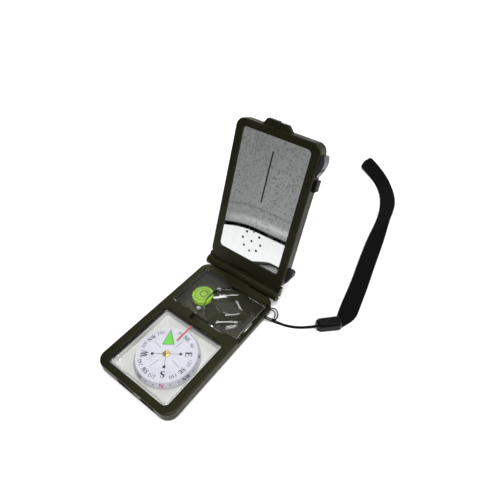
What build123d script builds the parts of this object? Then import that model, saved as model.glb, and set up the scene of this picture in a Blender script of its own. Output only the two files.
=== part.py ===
"""Folding sighting compass with a liquid capsule, sliding magnifier, level and mirror lid.

Millimetres. Origin: centre of the base's underside. +X runs along the hinge towards the side
with the switch and the lanyard, +Y from the front edge to the hinge, +Z up. The lid stands open.
"""

import os
from math import cos, pi, radians, sin, tan

from build123d import *

os.makedirs("parts", exist_ok=True)
PIECES = []


def keep(builder, node):
    """Label a finished piece and queue it for export."""
    builder.part.label = node
    PIECES.append(builder.part)


# ---------------------------------------------------------------- driving dimensions
BASE_W = 62.0
BASE_L = 102.5
BASE_H = 10.0
CORNER_R = 7.0
BOTTOM_FILLET = 3.5
TOP_FILLET = 1.2
GAP = 0.15  # assembly clearance between glued or seated parts

HINGE_Y = 54.5
HINGE_Z = 10.5
BARREL_R = 3.6
PIN_R = 1.0
PIN_PLAY = 0.05
KNUCKLE_L = -11.6  # seam between the left lid knuckle and the base knuckle
KNUCKLE_R = 9.4
SEAM = 0.25  # half the gap between two knuckles

LID_ANGLE = 111.0  # opening angle in the rest pose
LID_S0 = 4.6  # distance from the hinge axis to the lid's lower end
LID_S1 = 105.7
LIP_S0 = 3.85  # lower edge of the lip between the lid's knuckles
LID_T = 11.0
LID_SPLIT = 4.6  # depth of the joint between the lid's frame and its back
LID_WALL = 1.6
LID_CORNER = 6.0
LID_FILLET = 3.5

COVER_T = 1.2
CAPSULE_X = 26.0  # half width of the liquid capsule
CAPSULE_Y0 = -47.8
CAPSULE_Y1 = 4.4
CAPSULE_TOP = 8.2
CAPSULE_WALL = 1.2
WINDOW_X = 25.1  # half width of the window in the case
WINDOW_Y0 = -46.9
WINDOW_Y1 = 3.5
WINDOW_R = 3.5
WINDOW_Z = 9.4  # top of the clear window

CARD_Y = -21.7
CARD_R = 19.2
CARD_SKIRT_R = 21.0
CARD_TOP = 7.0
CARD_BOTTOM = 2.9
CARD_T = 0.6

WELL_X0 = -26.4
WELL_X1 = 28.9
WELL_Y0 = 10.6
WELL_Y1 = 45.2
WELL_FLOOR = 2.4
LENS_X = 8.0
LENS_Y = 28.2
LENS_R = 16.0
PLATE_X1 = 28.7
PLATE_Z0 = 6.8
TONGUE = 0.6
TONGUE_Z0 = 7.6
TONGUE_Z1 = 8.9

LEVEL_X = -13.5
LEVEL_Y = 27.0
LEVEL_R = 7.4
LEVEL_TOP = 6.4

MIRROR_X = 25.3  # half width of the mirror that shows
MIRROR_S0 = 14.4
MIRROR_S1 = 100.9
MIRROR_LIP = 0.8
MIRROR_T = 1.6
VENT_S = 28.8  # centre of the ring of vent holes, and of the hygrometer behind it
VENT_RING_R = 7.4
VENT_R = 0.9
SIGHT_S = 75.0  # middle of the sight line on the mirror
SIGHT_W = 1.2
SIGHT_L = 34.3

READ_X0 = -11.5  # reading opening in the front wall
READ_X1 = 19.5
READ_Z0 = 2.7
READ_Z1 = 8.5
READ_LENS_Z0 = 3.0
READ_LENS_Z1 = 8.2
COVER_SCREW_SPOTS = ((-22.5, 7.5), (22.5, 7.5))
COVER_TONGUE_X = 18.0
RECESS = (6.0, 8.3)  # finger recess in the bridge
WELL_SCREW_SPOTS = ((-8.5, 17.1), (-8.0, 38.0))
CORD_HOLE_Z = (4.3, 5.6)
THERMO_X = -11.0  # thermometer on the lid's back
THERMO_S = 70.0
CELL_X = 13.0
CELL_S = 84.0
CELL_R = 4.75
DOOR_S = 82.0  # battery door and its screw
DOOR_SCREW_S = 74.6
CARD_NORTH = radians(125.5)  # where the card points at rest, from +X

CORD_D = 0.9
STRAP_W = 12.5
STRAP_T = 2.7

# ---------------------------------------------------------------- planes of the lid
OPEN = radians(LID_ANGLE)
ALONG = Vector(0, -cos(OPEN), sin(OPEN))  # from the hinge axis to the lid's free end
OUT = Vector(0, sin(OPEN), cos(OPEN))  # from the mirror to the lid's back
HINGE = Vector(0, HINGE_Y, HINGE_Z)
LID_MID = (LID_S0 + LID_S1) / 2
LID_LEN = LID_S1 - LID_S0
MIRROR_MID = (MIRROR_S0 + MIRROR_S1) / 2
MIRROR_LEN = MIRROR_S1 - MIRROR_S0


def lid_plane(depth):
    """The plane that lies this deep behind the mirror side: local x is X, local y runs along
    the lid from the hinge axis, and local z points back to the mirror side."""
    return Plane(origin=HINGE + OUT * depth, x_dir=(1, 0, 0), z_dir=-OUT)


def across(x):
    """A plane square to the hinge axis, with local x along +Y."""
    return Plane(origin=(x, HINGE_Y, HINGE_Z), x_dir=(0, 1, 0), z_dir=(1, 0, 0))


def lid_side(x):
    """A plane square to the hinge axis in the lid's directions: local x runs along the lid and
    local y from the lid's back to its mirror side."""
    return Plane(origin=HINGE + Vector(x, 0, 0), x_dir=ALONG, z_dir=(1, 0, 0))


# ================================================================ base
with BuildPart() as base_case:
    with BuildSketch():
        RectangleRounded(BASE_W, BASE_L, CORNER_R)
    extrude(amount=BASE_H)
    fillet(base_case.edges().group_by(Axis.Z)[0], BOTTOM_FILLET)
    fillet(base_case.edges().group_by(Axis.Z)[-1], TOP_FILLET)
    # the middle hinge knuckle and its web
    with BuildSketch(across(KNUCKLE_L + SEAM)):
        Circle(BARREL_R)
        with Locations((-3.4, -1.8)):
            Rectangle(6.8, 3.6)
    extrude(amount=KNUCKLE_R - KNUCKLE_L - 2 * SEAM)
    # room for the lid's knuckles in the rear edge
    for x0, x1 in ((-BASE_W / 2 - 1, KNUCKLE_L + SEAM), (KNUCKLE_R - SEAM, BASE_W / 2 + 1)):
        with BuildSketch(across(x0)):
            Circle(BARREL_R + 0.35)
        extrude(amount=x1 - x0, mode=Mode.SUBTRACT)
    with BuildSketch(across(-BASE_W / 2 - 1)):
        Circle(PIN_R)
    extrude(amount=BASE_W + 2, mode=Mode.SUBTRACT)
    # capsule cavity, open downwards, with the window above it
    with BuildSketch():
        with Locations((0, (CAPSULE_Y0 + CAPSULE_Y1) / 2)):
            RectangleRounded(2 * CAPSULE_X + 2 * GAP, CAPSULE_Y1 - CAPSULE_Y0 + 2 * GAP, 2.5)
    extrude(amount=CAPSULE_TOP + GAP, mode=Mode.SUBTRACT)
    with BuildSketch():
        with Locations((0, (WINDOW_Y0 + WINDOW_Y1) / 2)):
            RectangleRounded(2 * WINDOW_X, WINDOW_Y1 - WINDOW_Y0, WINDOW_R)
    extrude(amount=BASE_H + 1, mode=Mode.SUBTRACT)
    # recess for the bottom cover, with a slot for each of its two front tongues
    with BuildSketch():
        with Locations((0, -19.2)):
            RectangleRounded(53.0, 58.0, 3.0)
    extrude(amount=COVER_T + 0.05, mode=Mode.SUBTRACT)
    with BuildSketch(Plane.XY.offset(COVER_T - 0.05)):
        with Locations((-COVER_TONGUE_X, -48.9), (COVER_TONGUE_X, -48.9)):
            Rectangle(8.4, 2.2)
    extrude(amount=1.0, mode=Mode.SUBTRACT)
    with BuildSketch():
        with Locations(*COVER_SCREW_SPOTS):
            Circle(0.9)
    extrude(amount=6.0, mode=Mode.SUBTRACT)
    # reading window in the front wall
    with BuildSketch(Plane.XZ.offset(BASE_L / 2 + 1)):
        with Locations(((READ_X0 + READ_X1) / 2, (READ_Z0 + READ_Z1) / 2)):
            RectangleRounded(READ_X1 - READ_X0, READ_Z1 - READ_Z0, 1.2)
    extrude(amount=-5.0, mode=Mode.SUBTRACT)
    # well under the magnifier, its slide grooves, and the lowered right wall
    with BuildSketch(Plane.XY.offset(WELL_FLOOR)):
        with Locations(((WELL_X0 + WELL_X1) / 2, (WELL_Y0 + WELL_Y1) / 2)):
            RectangleRounded(WELL_X1 - WELL_X0, WELL_Y1 - WELL_Y0, 1.5)
    extrude(amount=BASE_H, mode=Mode.SUBTRACT)
    with BuildSketch(Plane.XY.offset(PLATE_Z0 - 0.3)):
        with Locations((15.0, (WELL_Y0 + WELL_Y1) / 2)):
            Rectangle(2 * (BASE_W / 2 + 1 - 15.0), WELL_Y1 - WELL_Y0)
    extrude(amount=BASE_H, mode=Mode.SUBTRACT)
    with BuildSketch(Plane.XY.offset(TONGUE_Z0 - 0.1)):
        with Locations(((WELL_X0 + BASE_W / 2 + 1) / 2, (WELL_Y0 + WELL_Y1) / 2)):
            Rectangle(BASE_W / 2 + 1 - WELL_X0, WELL_Y1 - WELL_Y0 + 2 * TONGUE + 0.2)
    extrude(amount=TONGUE_Z1 - TONGUE_Z0 + 0.2, mode=Mode.SUBTRACT)
    # finger recess in the bridge between window and magnifier
    with BuildSketch(Plane.XY.offset(5.3)):
        with Locations(RECESS):
            RectangleRounded(26.0, 5.8, 2.0)
    extrude(amount=BASE_H, mode=Mode.SUBTRACT)
    # the two cord holes beside the rear right corner
    with BuildSketch(Plane(origin=(BASE_W / 2 + 1, 39.5, CORD_HOLE_Z[0]), z_dir=(1, 0, 0))):
        SlotOverall(3.0, 1.6)
    extrude(amount=-4.0, mode=Mode.SUBTRACT)
    with BuildSketch(Plane(origin=(33.4, 48.6, CORD_HOLE_Z[1]), x_dir=(-0.64, 0.77, 0), z_dir=(0.77, 0.64, 0))):
        SlotOverall(3.0, 1.6)
    extrude(amount=-9.0, mode=Mode.SUBTRACT)
    # seat for the level and bosses for the two eyelet screws
    with BuildSketch(Plane.XY.offset(WELL_FLOOR)):
        with Locations((LEVEL_X, LEVEL_Y)):
            Circle(LEVEL_R + 1.2)
            Circle(LEVEL_R + GAP, mode=Mode.SUBTRACT)
    extrude(amount=1.2)
    with BuildSketch(Plane.XY.offset(WELL_FLOOR)):
        with Locations(*WELL_SCREW_SPOTS):
            Circle(1.6)
            Circle(0.6, mode=Mode.SUBTRACT)
    extrude(amount=2.2)
keep(base_case, "base_case")

with BuildPart() as base_bottom_cover:
    with BuildSketch():
        with Locations((0, -19.2)):
            RectangleRounded(52.7, 57.7, 2.9)
    extrude(amount=COVER_T)
    with BuildSketch(Plane.XY.offset(COVER_T)):
        with Locations((-18, -48.5), (18, -48.5)):
            Rectangle(8.0, 2.2)
    extrude(amount=0.7)
    with BuildSketch():
        with Locations((-22.5, 7.5), (22.5, 7.5)):
            Circle(1.05)
    extrude(amount=COVER_T, mode=Mode.SUBTRACT)
    with Locations((-22.5, 7.5, 0), (22.5, 7.5, 0)):
        Cone(2.0, 1.05, 0.95, align=(Align.CENTER, Align.CENTER, Align.MIN), mode=Mode.SUBTRACT)
keep(base_bottom_cover, "base_bottom_cover")

with BuildPart() as base_screws:
    for x, y in COVER_SCREW_SPOTS:
        with Locations((x, y, 0.1)):
            Cone(1.85, 0.8, 0.85, align=(Align.CENTER, Align.CENTER, Align.MIN))
        with BuildSketch(Plane.XY.offset(0.9)):
            with Locations((x, y)):
                Circle(0.8)
        extrude(amount=4.6)
        with BuildSketch(Plane.XY):
            with Locations((x, y)):
                Rectangle(2.2, 0.45)
                Rectangle(0.45, 2.2)
        extrude(amount=0.55, mode=Mode.SUBTRACT)
keep(base_screws, "base_screws")

# ---------------------------------------------------------------- liquid capsule
CAPSULE_MID_Y = (CAPSULE_Y0 + CAPSULE_Y1) / 2
CAPSULE_LEN = CAPSULE_Y1 - CAPSULE_Y0
FLOOR_Z0 = COVER_T + 0.1
FLOOR_Z1 = FLOOR_Z0 + 0.9
TRAY_X = CAPSULE_X - CAPSULE_WALL - 0.9  # half width of the wall round the floor
TRAY_Y = CAPSULE_LEN / 2 - CAPSULE_WALL - 0.9
TRAY_WALL = 0.5
TRAY_TOP = 6.7
PLUG_X = -20.6
PLUG_Y = -41.2

with BuildPart() as capsule_window:
    with BuildSketch(Plane.XY.offset(FLOOR_Z0)):
        with Locations((0, CAPSULE_MID_Y)):
            RectangleRounded(2 * CAPSULE_X, CAPSULE_LEN, 2.4)
    extrude(amount=CAPSULE_TOP - FLOOR_Z0)
    with BuildSketch(Plane.XY.offset(CAPSULE_TOP)):
        with Locations((0, (WINDOW_Y0 + WINDOW_Y1) / 2)):
            RectangleRounded(2 * (WINDOW_X - GAP), WINDOW_Y1 - WINDOW_Y0 - 2 * GAP, WINDOW_R - GAP)
    extrude(amount=WINDOW_Z - CAPSULE_TOP)
    fillet(capsule_window.edges().group_by(Axis.Z)[-1], 0.5)
    # the bowed reading lens that stands in the front opening
    with BuildSketch(Plane.XY.offset(READ_LENS_Z0)):
        with BuildLine():
            bow = ThreePointArc(
                (READ_X0 + 1, CAPSULE_Y0 - 1.4),
                ((READ_X0 + READ_X1) / 2, CAPSULE_Y0 - 2.9),
                (READ_X1 - 1, CAPSULE_Y0 - 1.4),
            )
            Polyline(bow @ 1, (READ_X1 - 1, CAPSULE_Y0 + 1), (READ_X0 + 1, CAPSULE_Y0 + 1), bow @ 0)
        make_face()
    extrude(amount=READ_LENS_Z1 - READ_LENS_Z0)
    # chamber for the card, with a stepped ceiling
    with BuildSketch(Plane.XY.offset(FLOOR_Z0)):
        with Locations((0, CAPSULE_MID_Y)):
            RectangleRounded(2 * (CAPSULE_X - CAPSULE_WALL), CAPSULE_LEN - 2 * CAPSULE_WALL, 1.6)
    extrude(amount=CAPSULE_TOP - 1.4 - FLOOR_Z0, mode=Mode.SUBTRACT)
    with BuildSketch(Plane.XY.offset(FLOOR_Z0)):
        with Locations((0, CAPSULE_MID_Y)):
            RectangleRounded(2 * CAPSULE_X - 5.2, CAPSULE_LEN - 5.2, 2.4)
    extrude(amount=CAPSULE_TOP - 0.1 - FLOOR_Z0, mode=Mode.SUBTRACT)
    # notches over the bottom cover's tongues
    with BuildSketch(Plane.XY.offset(FLOOR_Z0)):
        with Locations((-COVER_TONGUE_X, CAPSULE_Y0), (COVER_TONGUE_X, CAPSULE_Y0)):
            Rectangle(8.6, 1.2)
    extrude(amount=0.8, mode=Mode.SUBTRACT)
    # filling hole, and the groove that holds the lubber line
    with BuildSketch(Plane.XY.offset(FLOOR_Z0)):
        with Locations((PLUG_X, PLUG_Y)):
            Circle(1.9)
    extrude(amount=BASE_H, mode=Mode.SUBTRACT)
    with BuildSketch(Plane.XY.offset(WINDOW_Z - 0.25)):
        with Locations((-0.6, -4.7)):
            Rectangle(0.8, 14.0)
    extrude(amount=1.0, mode=Mode.SUBTRACT)
keep(capsule_window, "capsule_window")

with BuildPart() as lubber_line:
    with BuildSketch(Plane.XY.offset(WINDOW_Z - 0.25)):
        with Locations((-0.6, -4.7)):
            Rectangle(0.8, 14.0)
    extrude(amount=0.25)
keep(lubber_line, "lubber_line")

with BuildPart() as capsule_filler_plug:
    with BuildSketch(Plane.XY.offset(CAPSULE_TOP - 0.4)):
        with Locations((PLUG_X, PLUG_Y)):
            Circle(1.85)
    extrude(amount=1.3)
    with BuildSketch(Plane.XY.offset(WINDOW_Z - 0.7)):
        with Locations(Location((PLUG_X, PLUG_Y, 0), 40)):
            Rectangle(3.0, 0.5)
    extrude(amount=0.6, mode=Mode.SUBTRACT)
keep(capsule_filler_plug, "capsule_filler_plug")

with BuildPart() as capsule_gasket:
    with BuildSketch(Plane.XY.offset(FLOOR_Z1)):
        with Locations((0, CAPSULE_MID_Y)):
            RectangleRounded(2 * (CAPSULE_X - CAPSULE_WALL) - 0.1, CAPSULE_LEN - 2 * CAPSULE_WALL - 0.1, 1.5)
            RectangleRounded(2 * (CAPSULE_X - CAPSULE_WALL) - 1.7, CAPSULE_LEN - 2 * CAPSULE_WALL - 1.7, 1.0,
                             mode=Mode.SUBTRACT)
    extrude(amount=0.6)
keep(capsule_gasket, "capsule_gasket")

with BuildPart() as capsule_floor:
    with BuildSketch(Plane.XY.offset(FLOOR_Z0)):
        with Locations((0, CAPSULE_MID_Y)):
            RectangleRounded(2 * (CAPSULE_X - CAPSULE_WALL) - 0.1, CAPSULE_LEN - 2 * CAPSULE_WALL - 0.1, 1.5)
    extrude(amount=FLOOR_Z1 - FLOOR_Z0)
    # wall round the floor, cut away behind the reading lens
    with BuildSketch(Plane.XY.offset(FLOOR_Z1)):
        with Locations((0, CAPSULE_MID_Y)):
            RectangleRounded(2 * TRAY_X, 2 * TRAY_Y, 1.6)
            RectangleRounded(2 * (TRAY_X - TRAY_WALL), 2 * (TRAY_Y - TRAY_WALL), 1.2, mode=Mode.SUBTRACT)
    extrude(amount=TRAY_TOP - FLOOR_Z1)
    with BuildSketch(Plane.XY.offset(FLOOR_Z1 + 0.2)):
        with Locations(((READ_X0 + READ_X1) / 2, CAPSULE_MID_Y - TRAY_Y)):
            Rectangle(READ_X1 - READ_X0 - 2, 3.0)
    extrude(amount=BASE_H, mode=Mode.SUBTRACT)
    with BuildSketch(Plane.XY.offset(FLOOR_Z0 + 0.3)):
        with Locations((0, CARD_Y)):
            Circle(1.2)
    extrude(amount=1.0, mode=Mode.SUBTRACT)
keep(capsule_floor, "capsule_floor")

with BuildPart() as pivot_post:
    with BuildSketch(Plane.XZ.offset(-CARD_Y)):
        with BuildLine():
            Polyline(
                (0, FLOOR_Z0 + 0.3),
                (1.2, FLOOR_Z0 + 0.3),
                (1.2, FLOOR_Z1 + 0.4),
                (0.5, FLOOR_Z1 + 0.8),
                (0.5, 5.6),
                (0, 6.5),
                close=True,
            )
        make_face()
    revolve(axis=Axis((0, CARD_Y, 0), (0, 0, 1)))
keep(pivot_post, "pivot_post")

# ---------------------------------------------------------------- floating card
CARD_AXIS = Axis((0, CARD_Y, 0), (0, 0, 1))
UNDER_CARD = Plane(  # local x runs along the card's north line
    origin=(0, CARD_Y, CARD_TOP - CARD_T), x_dir=(cos(CARD_NORTH), sin(CARD_NORTH), 0), z_dir=(0, 0, -1)
)

with BuildPart() as compass_card:
    with BuildSketch(Plane.XZ.offset(-CARD_Y)):
        with BuildLine():
            Polyline(
                (1.9, CARD_TOP),
                (CARD_R, CARD_TOP),
                (CARD_SKIRT_R, CARD_BOTTOM),
                (CARD_SKIRT_R - CARD_T, CARD_BOTTOM),
                (CARD_R - CARD_T, CARD_TOP - CARD_T),
                (1.9, CARD_TOP - CARD_T),
                close=True,
            )
        make_face()
    revolve(axis=CARD_AXIS)
    # two clips that hold the magnet under the card
    with BuildSketch(UNDER_CARD):
        with GridLocations(16.0, 4.9, 2, 2):
            Rectangle(4.0, 0.8)
    extrude(amount=1.4)
keep(compass_card, "compass_card")

with BuildPart() as card_magnet:
    with BuildSketch(UNDER_CARD):
        Rectangle(26.0, 4.0)
        Circle(3.6)
        Circle(2.4, mode=Mode.SUBTRACT)
    extrude(amount=1.2)
keep(card_magnet, "card_magnet")

with BuildPart() as card_jewel_cap:
    with BuildSketch(Plane.XZ.offset(-CARD_Y)):
        with BuildLine():
            Polyline(
                (0, 7.7),
                (0.9, 7.7),
                (1.2, 7.35),
                (2.4, 7.2),
                (2.4, CARD_TOP),
                (1.85, CARD_TOP),
                (1.85, 5.3),
                (1.1, 5.3),
                (0.75, 6.1),
                (0, 6.6),
                close=True,
            )
        make_face()
    revolve(axis=CARD_AXIS)
keep(card_jewel_cap, "card_jewel_cap")

# ---------------------------------------------------------------- magnifier
with BuildPart() as magnifier_plate:
    with BuildSketch(Plane.XY.offset(PLATE_Z0)):
        with Locations(((WELL_X0 + 0.3 + PLATE_X1) / 2, (WELL_Y0 + WELL_Y1) / 2)):
            RectangleRounded(PLATE_X1 - WELL_X0 - 0.3, WELL_Y1 - WELL_Y0 - 2 * GAP, 1.0)
    extrude(amount=BASE_H - PLATE_Z0)
    chamfer(magnifier_plate.edges().group_by(Axis.Z)[-1], 0.3)
    with BuildSketch(Plane.XY.offset(TONGUE_Z0)):
        with Locations(((WELL_X0 + PLATE_X1) / 2, (WELL_Y0 + WELL_Y1) / 2)):
            Rectangle(PLATE_X1 - WELL_X0 - 3.0, WELL_Y1 - WELL_Y0 - 2 * GAP + 2 * TONGUE)
    extrude(amount=TONGUE_Z1 - TONGUE_Z0)
    # the lens: a spherical cap on each face, sunk into the plate
    with BuildSketch(Plane.XZ.offset(-LENS_Y)):
        with BuildLine():
            top = ThreePointArc(
                (LENS_X - LENS_R, BASE_H - 1.7), (LENS_X, BASE_H), (LENS_X + LENS_R, BASE_H - 1.7)
            )
            Polyline(
                top @ 1, (LENS_X + LENS_R, BASE_H + 1), (LENS_X - LENS_R, BASE_H + 1), top @ 0
            )
        make_face()
        split(bisect_by=Plane(origin=(LENS_X, LENS_Y, 0), z_dir=(1, 0, 0)))
    revolve(axis=Axis((LENS_X, LENS_Y, 0), (0, 0, 1)), mode=Mode.SUBTRACT)
    with BuildSketch(Plane.XZ.offset(-LENS_Y)):
        with BuildLine():
            under = ThreePointArc(
                (LENS_X - LENS_R, PLATE_Z0 + 0.9), (LENS_X, PLATE_Z0), (LENS_X + LENS_R, PLATE_Z0 + 0.9)
            )
            Polyline(
                under @ 1, (LENS_X + LENS_R, PLATE_Z0 - 1), (LENS_X - LENS_R, PLATE_Z0 - 1), under @ 0
            )
        make_face()
        split(bisect_by=Plane(origin=(LENS_X, LENS_Y, 0), z_dir=(1, 0, 0)))
    revolve(axis=Axis((LENS_X, LENS_Y, 0), (0, 0, 1)), mode=Mode.SUBTRACT)
keep(magnifier_plate, "magnifier_plate")

# ---------------------------------------------------------------- level
LEVEL_SPOT = (LEVEL_X, LEVEL_Y)

with BuildPart() as level_vial:
    with BuildSketch(Plane.XY.offset(WELL_FLOOR + 0.6)):
        with Locations(LEVEL_SPOT):
            Circle(LEVEL_R)
    extrude(amount=LEVEL_TOP - WELL_FLOOR - 0.6)
    fillet(level_vial.edges().group_by(Axis.Z)[-1], 0.5)
    with BuildSketch(Plane.XY.offset(WELL_FLOOR + 0.6)):
        with Locations(LEVEL_SPOT):
            Circle(LEVEL_R - 0.8)
    extrude(amount=LEVEL_TOP - WELL_FLOOR - 1.4, mode=Mode.SUBTRACT)
keep(level_vial, "level_vial")

with BuildPart() as level_liquid:
    with BuildSketch(Plane.XY.offset(WELL_FLOOR + 0.65)):
        with Locations(LEVEL_SPOT):
            Circle(LEVEL_R - 0.85)
    extrude(amount=LEVEL_TOP - WELL_FLOOR - 1.5)
    with Locations((LEVEL_X + 0.6, LEVEL_Y + 2.2, LEVEL_TOP)):
        Sphere(3.3, mode=Mode.SUBTRACT)
keep(level_liquid, "level_liquid")

with BuildPart() as level_base:
    with BuildSketch(Plane.XY.offset(WELL_FLOOR)):
        with Locations(LEVEL_SPOT):
            Circle(LEVEL_R)
    extrude(amount=0.6)
keep(level_base, "level_base")

with BuildPart() as well_screws:
    for spot in WELL_SCREW_SPOTS:
        with BuildSketch(Plane.XY.offset(WELL_FLOOR + 0.4)):
            with Locations(spot):
                Circle(0.5)
        extrude(amount=1.9)
        with BuildSketch(Plane.XY.offset(WELL_FLOOR + 2.2)):
            with Locations(spot):
                Circle(1.4)
        extrude(amount=0.7)
        with BuildSketch(Plane.XY.offset(WELL_FLOOR + 2.5)):
            with Locations(spot):
                Circle(0.6)
        extrude(amount=1.0, mode=Mode.SUBTRACT)
keep(well_screws, "well_screws")

# ---------------------------------------------------------------- hinge pin
with BuildPart() as hinge_pin:
    with BuildSketch(across(-BASE_W / 2 + 0.6)):
        Circle(PIN_R - PIN_PLAY)
    extrude(amount=BASE_W - 0.2)
    with BuildSketch(across(BASE_W / 2 + 0.4)):
        Circle(1.5)
    extrude(amount=1.2)
    fillet(hinge_pin.edges().group_by(Axis.X)[-1], 0.5)
keep(hinge_pin, "hinge_pin")

# ================================================================ lid
TAB_IN = 1.0
TAB_OUT = 4.4
SCREWS = ((-20.0, 9.6), (20.0, 9.6), (-27.2, 102.6), (27.2, 102.6))
TORCH_S0 = 86.2
TORCH_S1 = 99.8
TORCH_IN = 1.4
TORCH_OUT = 8.2
SWITCH_S = 80.6
WHISTLE_S0 = 9.6
WHISTLE_S1 = 19.6
WHISTLE_IN = 4.8
WHISTLE_OUT = 9.2
SIDE_X = BASE_W / 2


# outline of the finger tab at the lid's free end; its left half stands a little higher
TAB_OUTLINE = (
    (-12.0, LID_S1 - 3),
    (-12.0, LID_S1 + 0.3),
    (-9.5, LID_S1 + 4.4),
    (-1.8, LID_S1 + 4.4),
    (-1.1, LID_S1 + 3.9),
    (5.4, LID_S1 + 3.9),
    (8.9, LID_S1 + 0.3),
    (8.9, LID_S1 - 3),
)

with BuildPart() as lid_frame:
    with BuildSketch(lid_plane(LID_SPLIT)):
        with Locations((0, LID_MID)):
            RectangleRounded(BASE_W, LID_LEN, LID_CORNER)
    extrude(amount=LID_SPLIT)
    fillet(lid_frame.edges().group_by(Axis(HINGE, OUT))[0], 1.0)
    with BuildSketch(lid_plane(TAB_OUT)):
        with BuildLine():
            Polyline(*TAB_OUTLINE, close=True)
        make_face()
    extrude(amount=TAB_OUT - TAB_IN)
    # opening for the mirror, its seat behind a lip, and a slope around it
    with BuildSketch(lid_plane(LID_SPLIT)):
        with Locations((0, MIRROR_MID)):
            RectangleRounded(2 * MIRROR_X, MIRROR_LEN, 3.0)
    extrude(amount=LID_SPLIT + 1, mode=Mode.SUBTRACT)
    with BuildSketch(lid_plane(LID_SPLIT)):
        with Locations((0, MIRROR_MID)):
            RectangleRounded(2 * MIRROR_X + 2.2, MIRROR_LEN + 2.2, 3.6)
    extrude(amount=LID_SPLIT - MIRROR_LIP, mode=Mode.SUBTRACT)
    # lip that closes the gap over the base's knuckle
    with BuildSketch(lid_plane(LID_SPLIT)):
        with Locations(((KNUCKLE_L + KNUCKLE_R) / 2, (LIP_S0 + LID_S0 + 2) / 2)):
            Rectangle(KNUCKLE_R - KNUCKLE_L + 2 * SEAM, LID_S0 + 2 - LIP_S0)
    extrude(amount=LID_SPLIT - 0.5)
    # outer hinge knuckles with their webs
    for x0, x1 in ((-SIDE_X, KNUCKLE_L - SEAM), (KNUCKLE_R + SEAM, SIDE_X)):
        with BuildSketch(lid_side(x0)):
            Circle(BARREL_R)
            with Locations((3.2, -1.8)):
                Rectangle(6.4, 3.6)
        extrude(amount=x1 - x0)
    with BuildSketch(lid_side(-SIDE_X - 1)):
        Circle(PIN_R)
    extrude(amount=BASE_W + 2, mode=Mode.SUBTRACT)
    # pilot holes for the lid screws
    with BuildSketch(lid_plane(LID_SPLIT)):
        with Locations(*SCREWS):
            Circle(0.7)
    extrude(amount=3.2, mode=Mode.SUBTRACT)
    # pockets for the torch and its switch in the right-hand border
    with BuildSketch(lid_plane(LID_SPLIT)):
        with Locations((29.2, (TORCH_S0 + TORCH_S1) / 2)):
            Rectangle(6.4, TORCH_S1 - TORCH_S0 - 1.0)
        with Locations((29.2, SWITCH_S + 0.1)):
            Rectangle(6.4, 4.6)
    extrude(amount=LID_SPLIT - TORCH_IN + 0.1, mode=Mode.SUBTRACT)
keep(lid_frame, "lid_frame")

with BuildPart() as lid_back:
    with BuildSketch(lid_plane(LID_T)):
        with Locations((0, LID_MID)):
            RectangleRounded(BASE_W, LID_LEN, LID_CORNER)
    extrude(amount=LID_T - LID_SPLIT)
    fillet(lid_back.edges().group_by(Axis(HINGE, OUT))[-1], LID_FILLET)
    # the hollow behind the mirror
    with BuildSketch(lid_plane(LID_T - LID_WALL)):
        with Locations((0, MIRROR_MID)):
            RectangleRounded(2 * MIRROR_X - 1.6, MIRROR_LEN - 1.6, 2.4)
    extrude(amount=LID_T, mode=Mode.SUBTRACT)
    # round hygrometer window and long thermometer window, each with an inner seat
    with BuildSketch(lid_plane(LID_T + 1)):
        with Locations((0, VENT_S)):
            Circle(8.4)
        with Locations((THERMO_X, THERMO_S)):
            SlotOverall(44.0, 7.0, rotation=90)
    extrude(amount=LID_WALL + 2, mode=Mode.SUBTRACT)
    with BuildSketch(lid_plane(LID_T - 0.8)):
        with Locations((0, VENT_S)):
            Circle(9.6)
        with Locations((THERMO_X, THERMO_S)):
            SlotOverall(46.2, 9.2, rotation=90)
    extrude(amount=1.0, mode=Mode.SUBTRACT)
    # battery bay with its door seat
    with BuildSketch(lid_plane(LID_T)):
        with Locations((CELL_X, DOOR_S)):
            RectangleRounded(18.3, 18.3, 2.0)
    extrude(amount=0.9, mode=Mode.SUBTRACT)
    with BuildSketch(lid_plane(LID_T)):
        with Locations((CELL_X, CELL_S)):
            Circle(5.4)
        with Locations((CELL_X, DOOR_SCREW_S)):
            Circle(0.6)
    extrude(amount=LID_WALL + 1, mode=Mode.SUBTRACT)
    # counterbored screw holes
    with BuildSketch(lid_plane(LID_T)):
        with Locations(*SCREWS):
            Circle(1.0)
    extrude(amount=LID_T, mode=Mode.SUBTRACT)
    with BuildSketch(lid_plane(LID_T)):
        with Locations(*SCREWS):
            Circle(1.9)
    extrude(amount=LID_T - 7.4, mode=Mode.SUBTRACT)
    # pockets in the right-hand border for torch, switch and whistle
    with BuildSketch(lid_plane(TORCH_OUT + 0.3)):
        with Locations((27.6, (TORCH_S0 + TORCH_S1) / 2)):
            Rectangle(8.6, TORCH_S1 - TORCH_S0 - 1.0)
        with Locations((27.6, SWITCH_S + 0.1)):
            Rectangle(8.6, 4.6)
    extrude(amount=TORCH_OUT + 0.3 - LID_SPLIT + 0.2, mode=Mode.SUBTRACT)
    with BuildSketch(lid_plane(WHISTLE_OUT + GAP)):
        with Locations((27.0, (WHISTLE_S0 + WHISTLE_S1) / 2)):
            Rectangle(9.0, WHISTLE_S1 - WHISTLE_S0 + 2 * GAP)
    extrude(amount=WHISTLE_OUT + GAP - LID_SPLIT + 0.2, mode=Mode.SUBTRACT)
    # slot that lets the whistle's air out
    with BuildSketch(lid_plane(LID_T + 1)):
        with Locations((26.0, (WHISTLE_S0 + WHISTLE_S1) / 2)):
            Rectangle(2.2, 5.0)
    extrude(amount=4.0, mode=Mode.SUBTRACT)
keep(lid_back, "lid_back")

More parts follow.
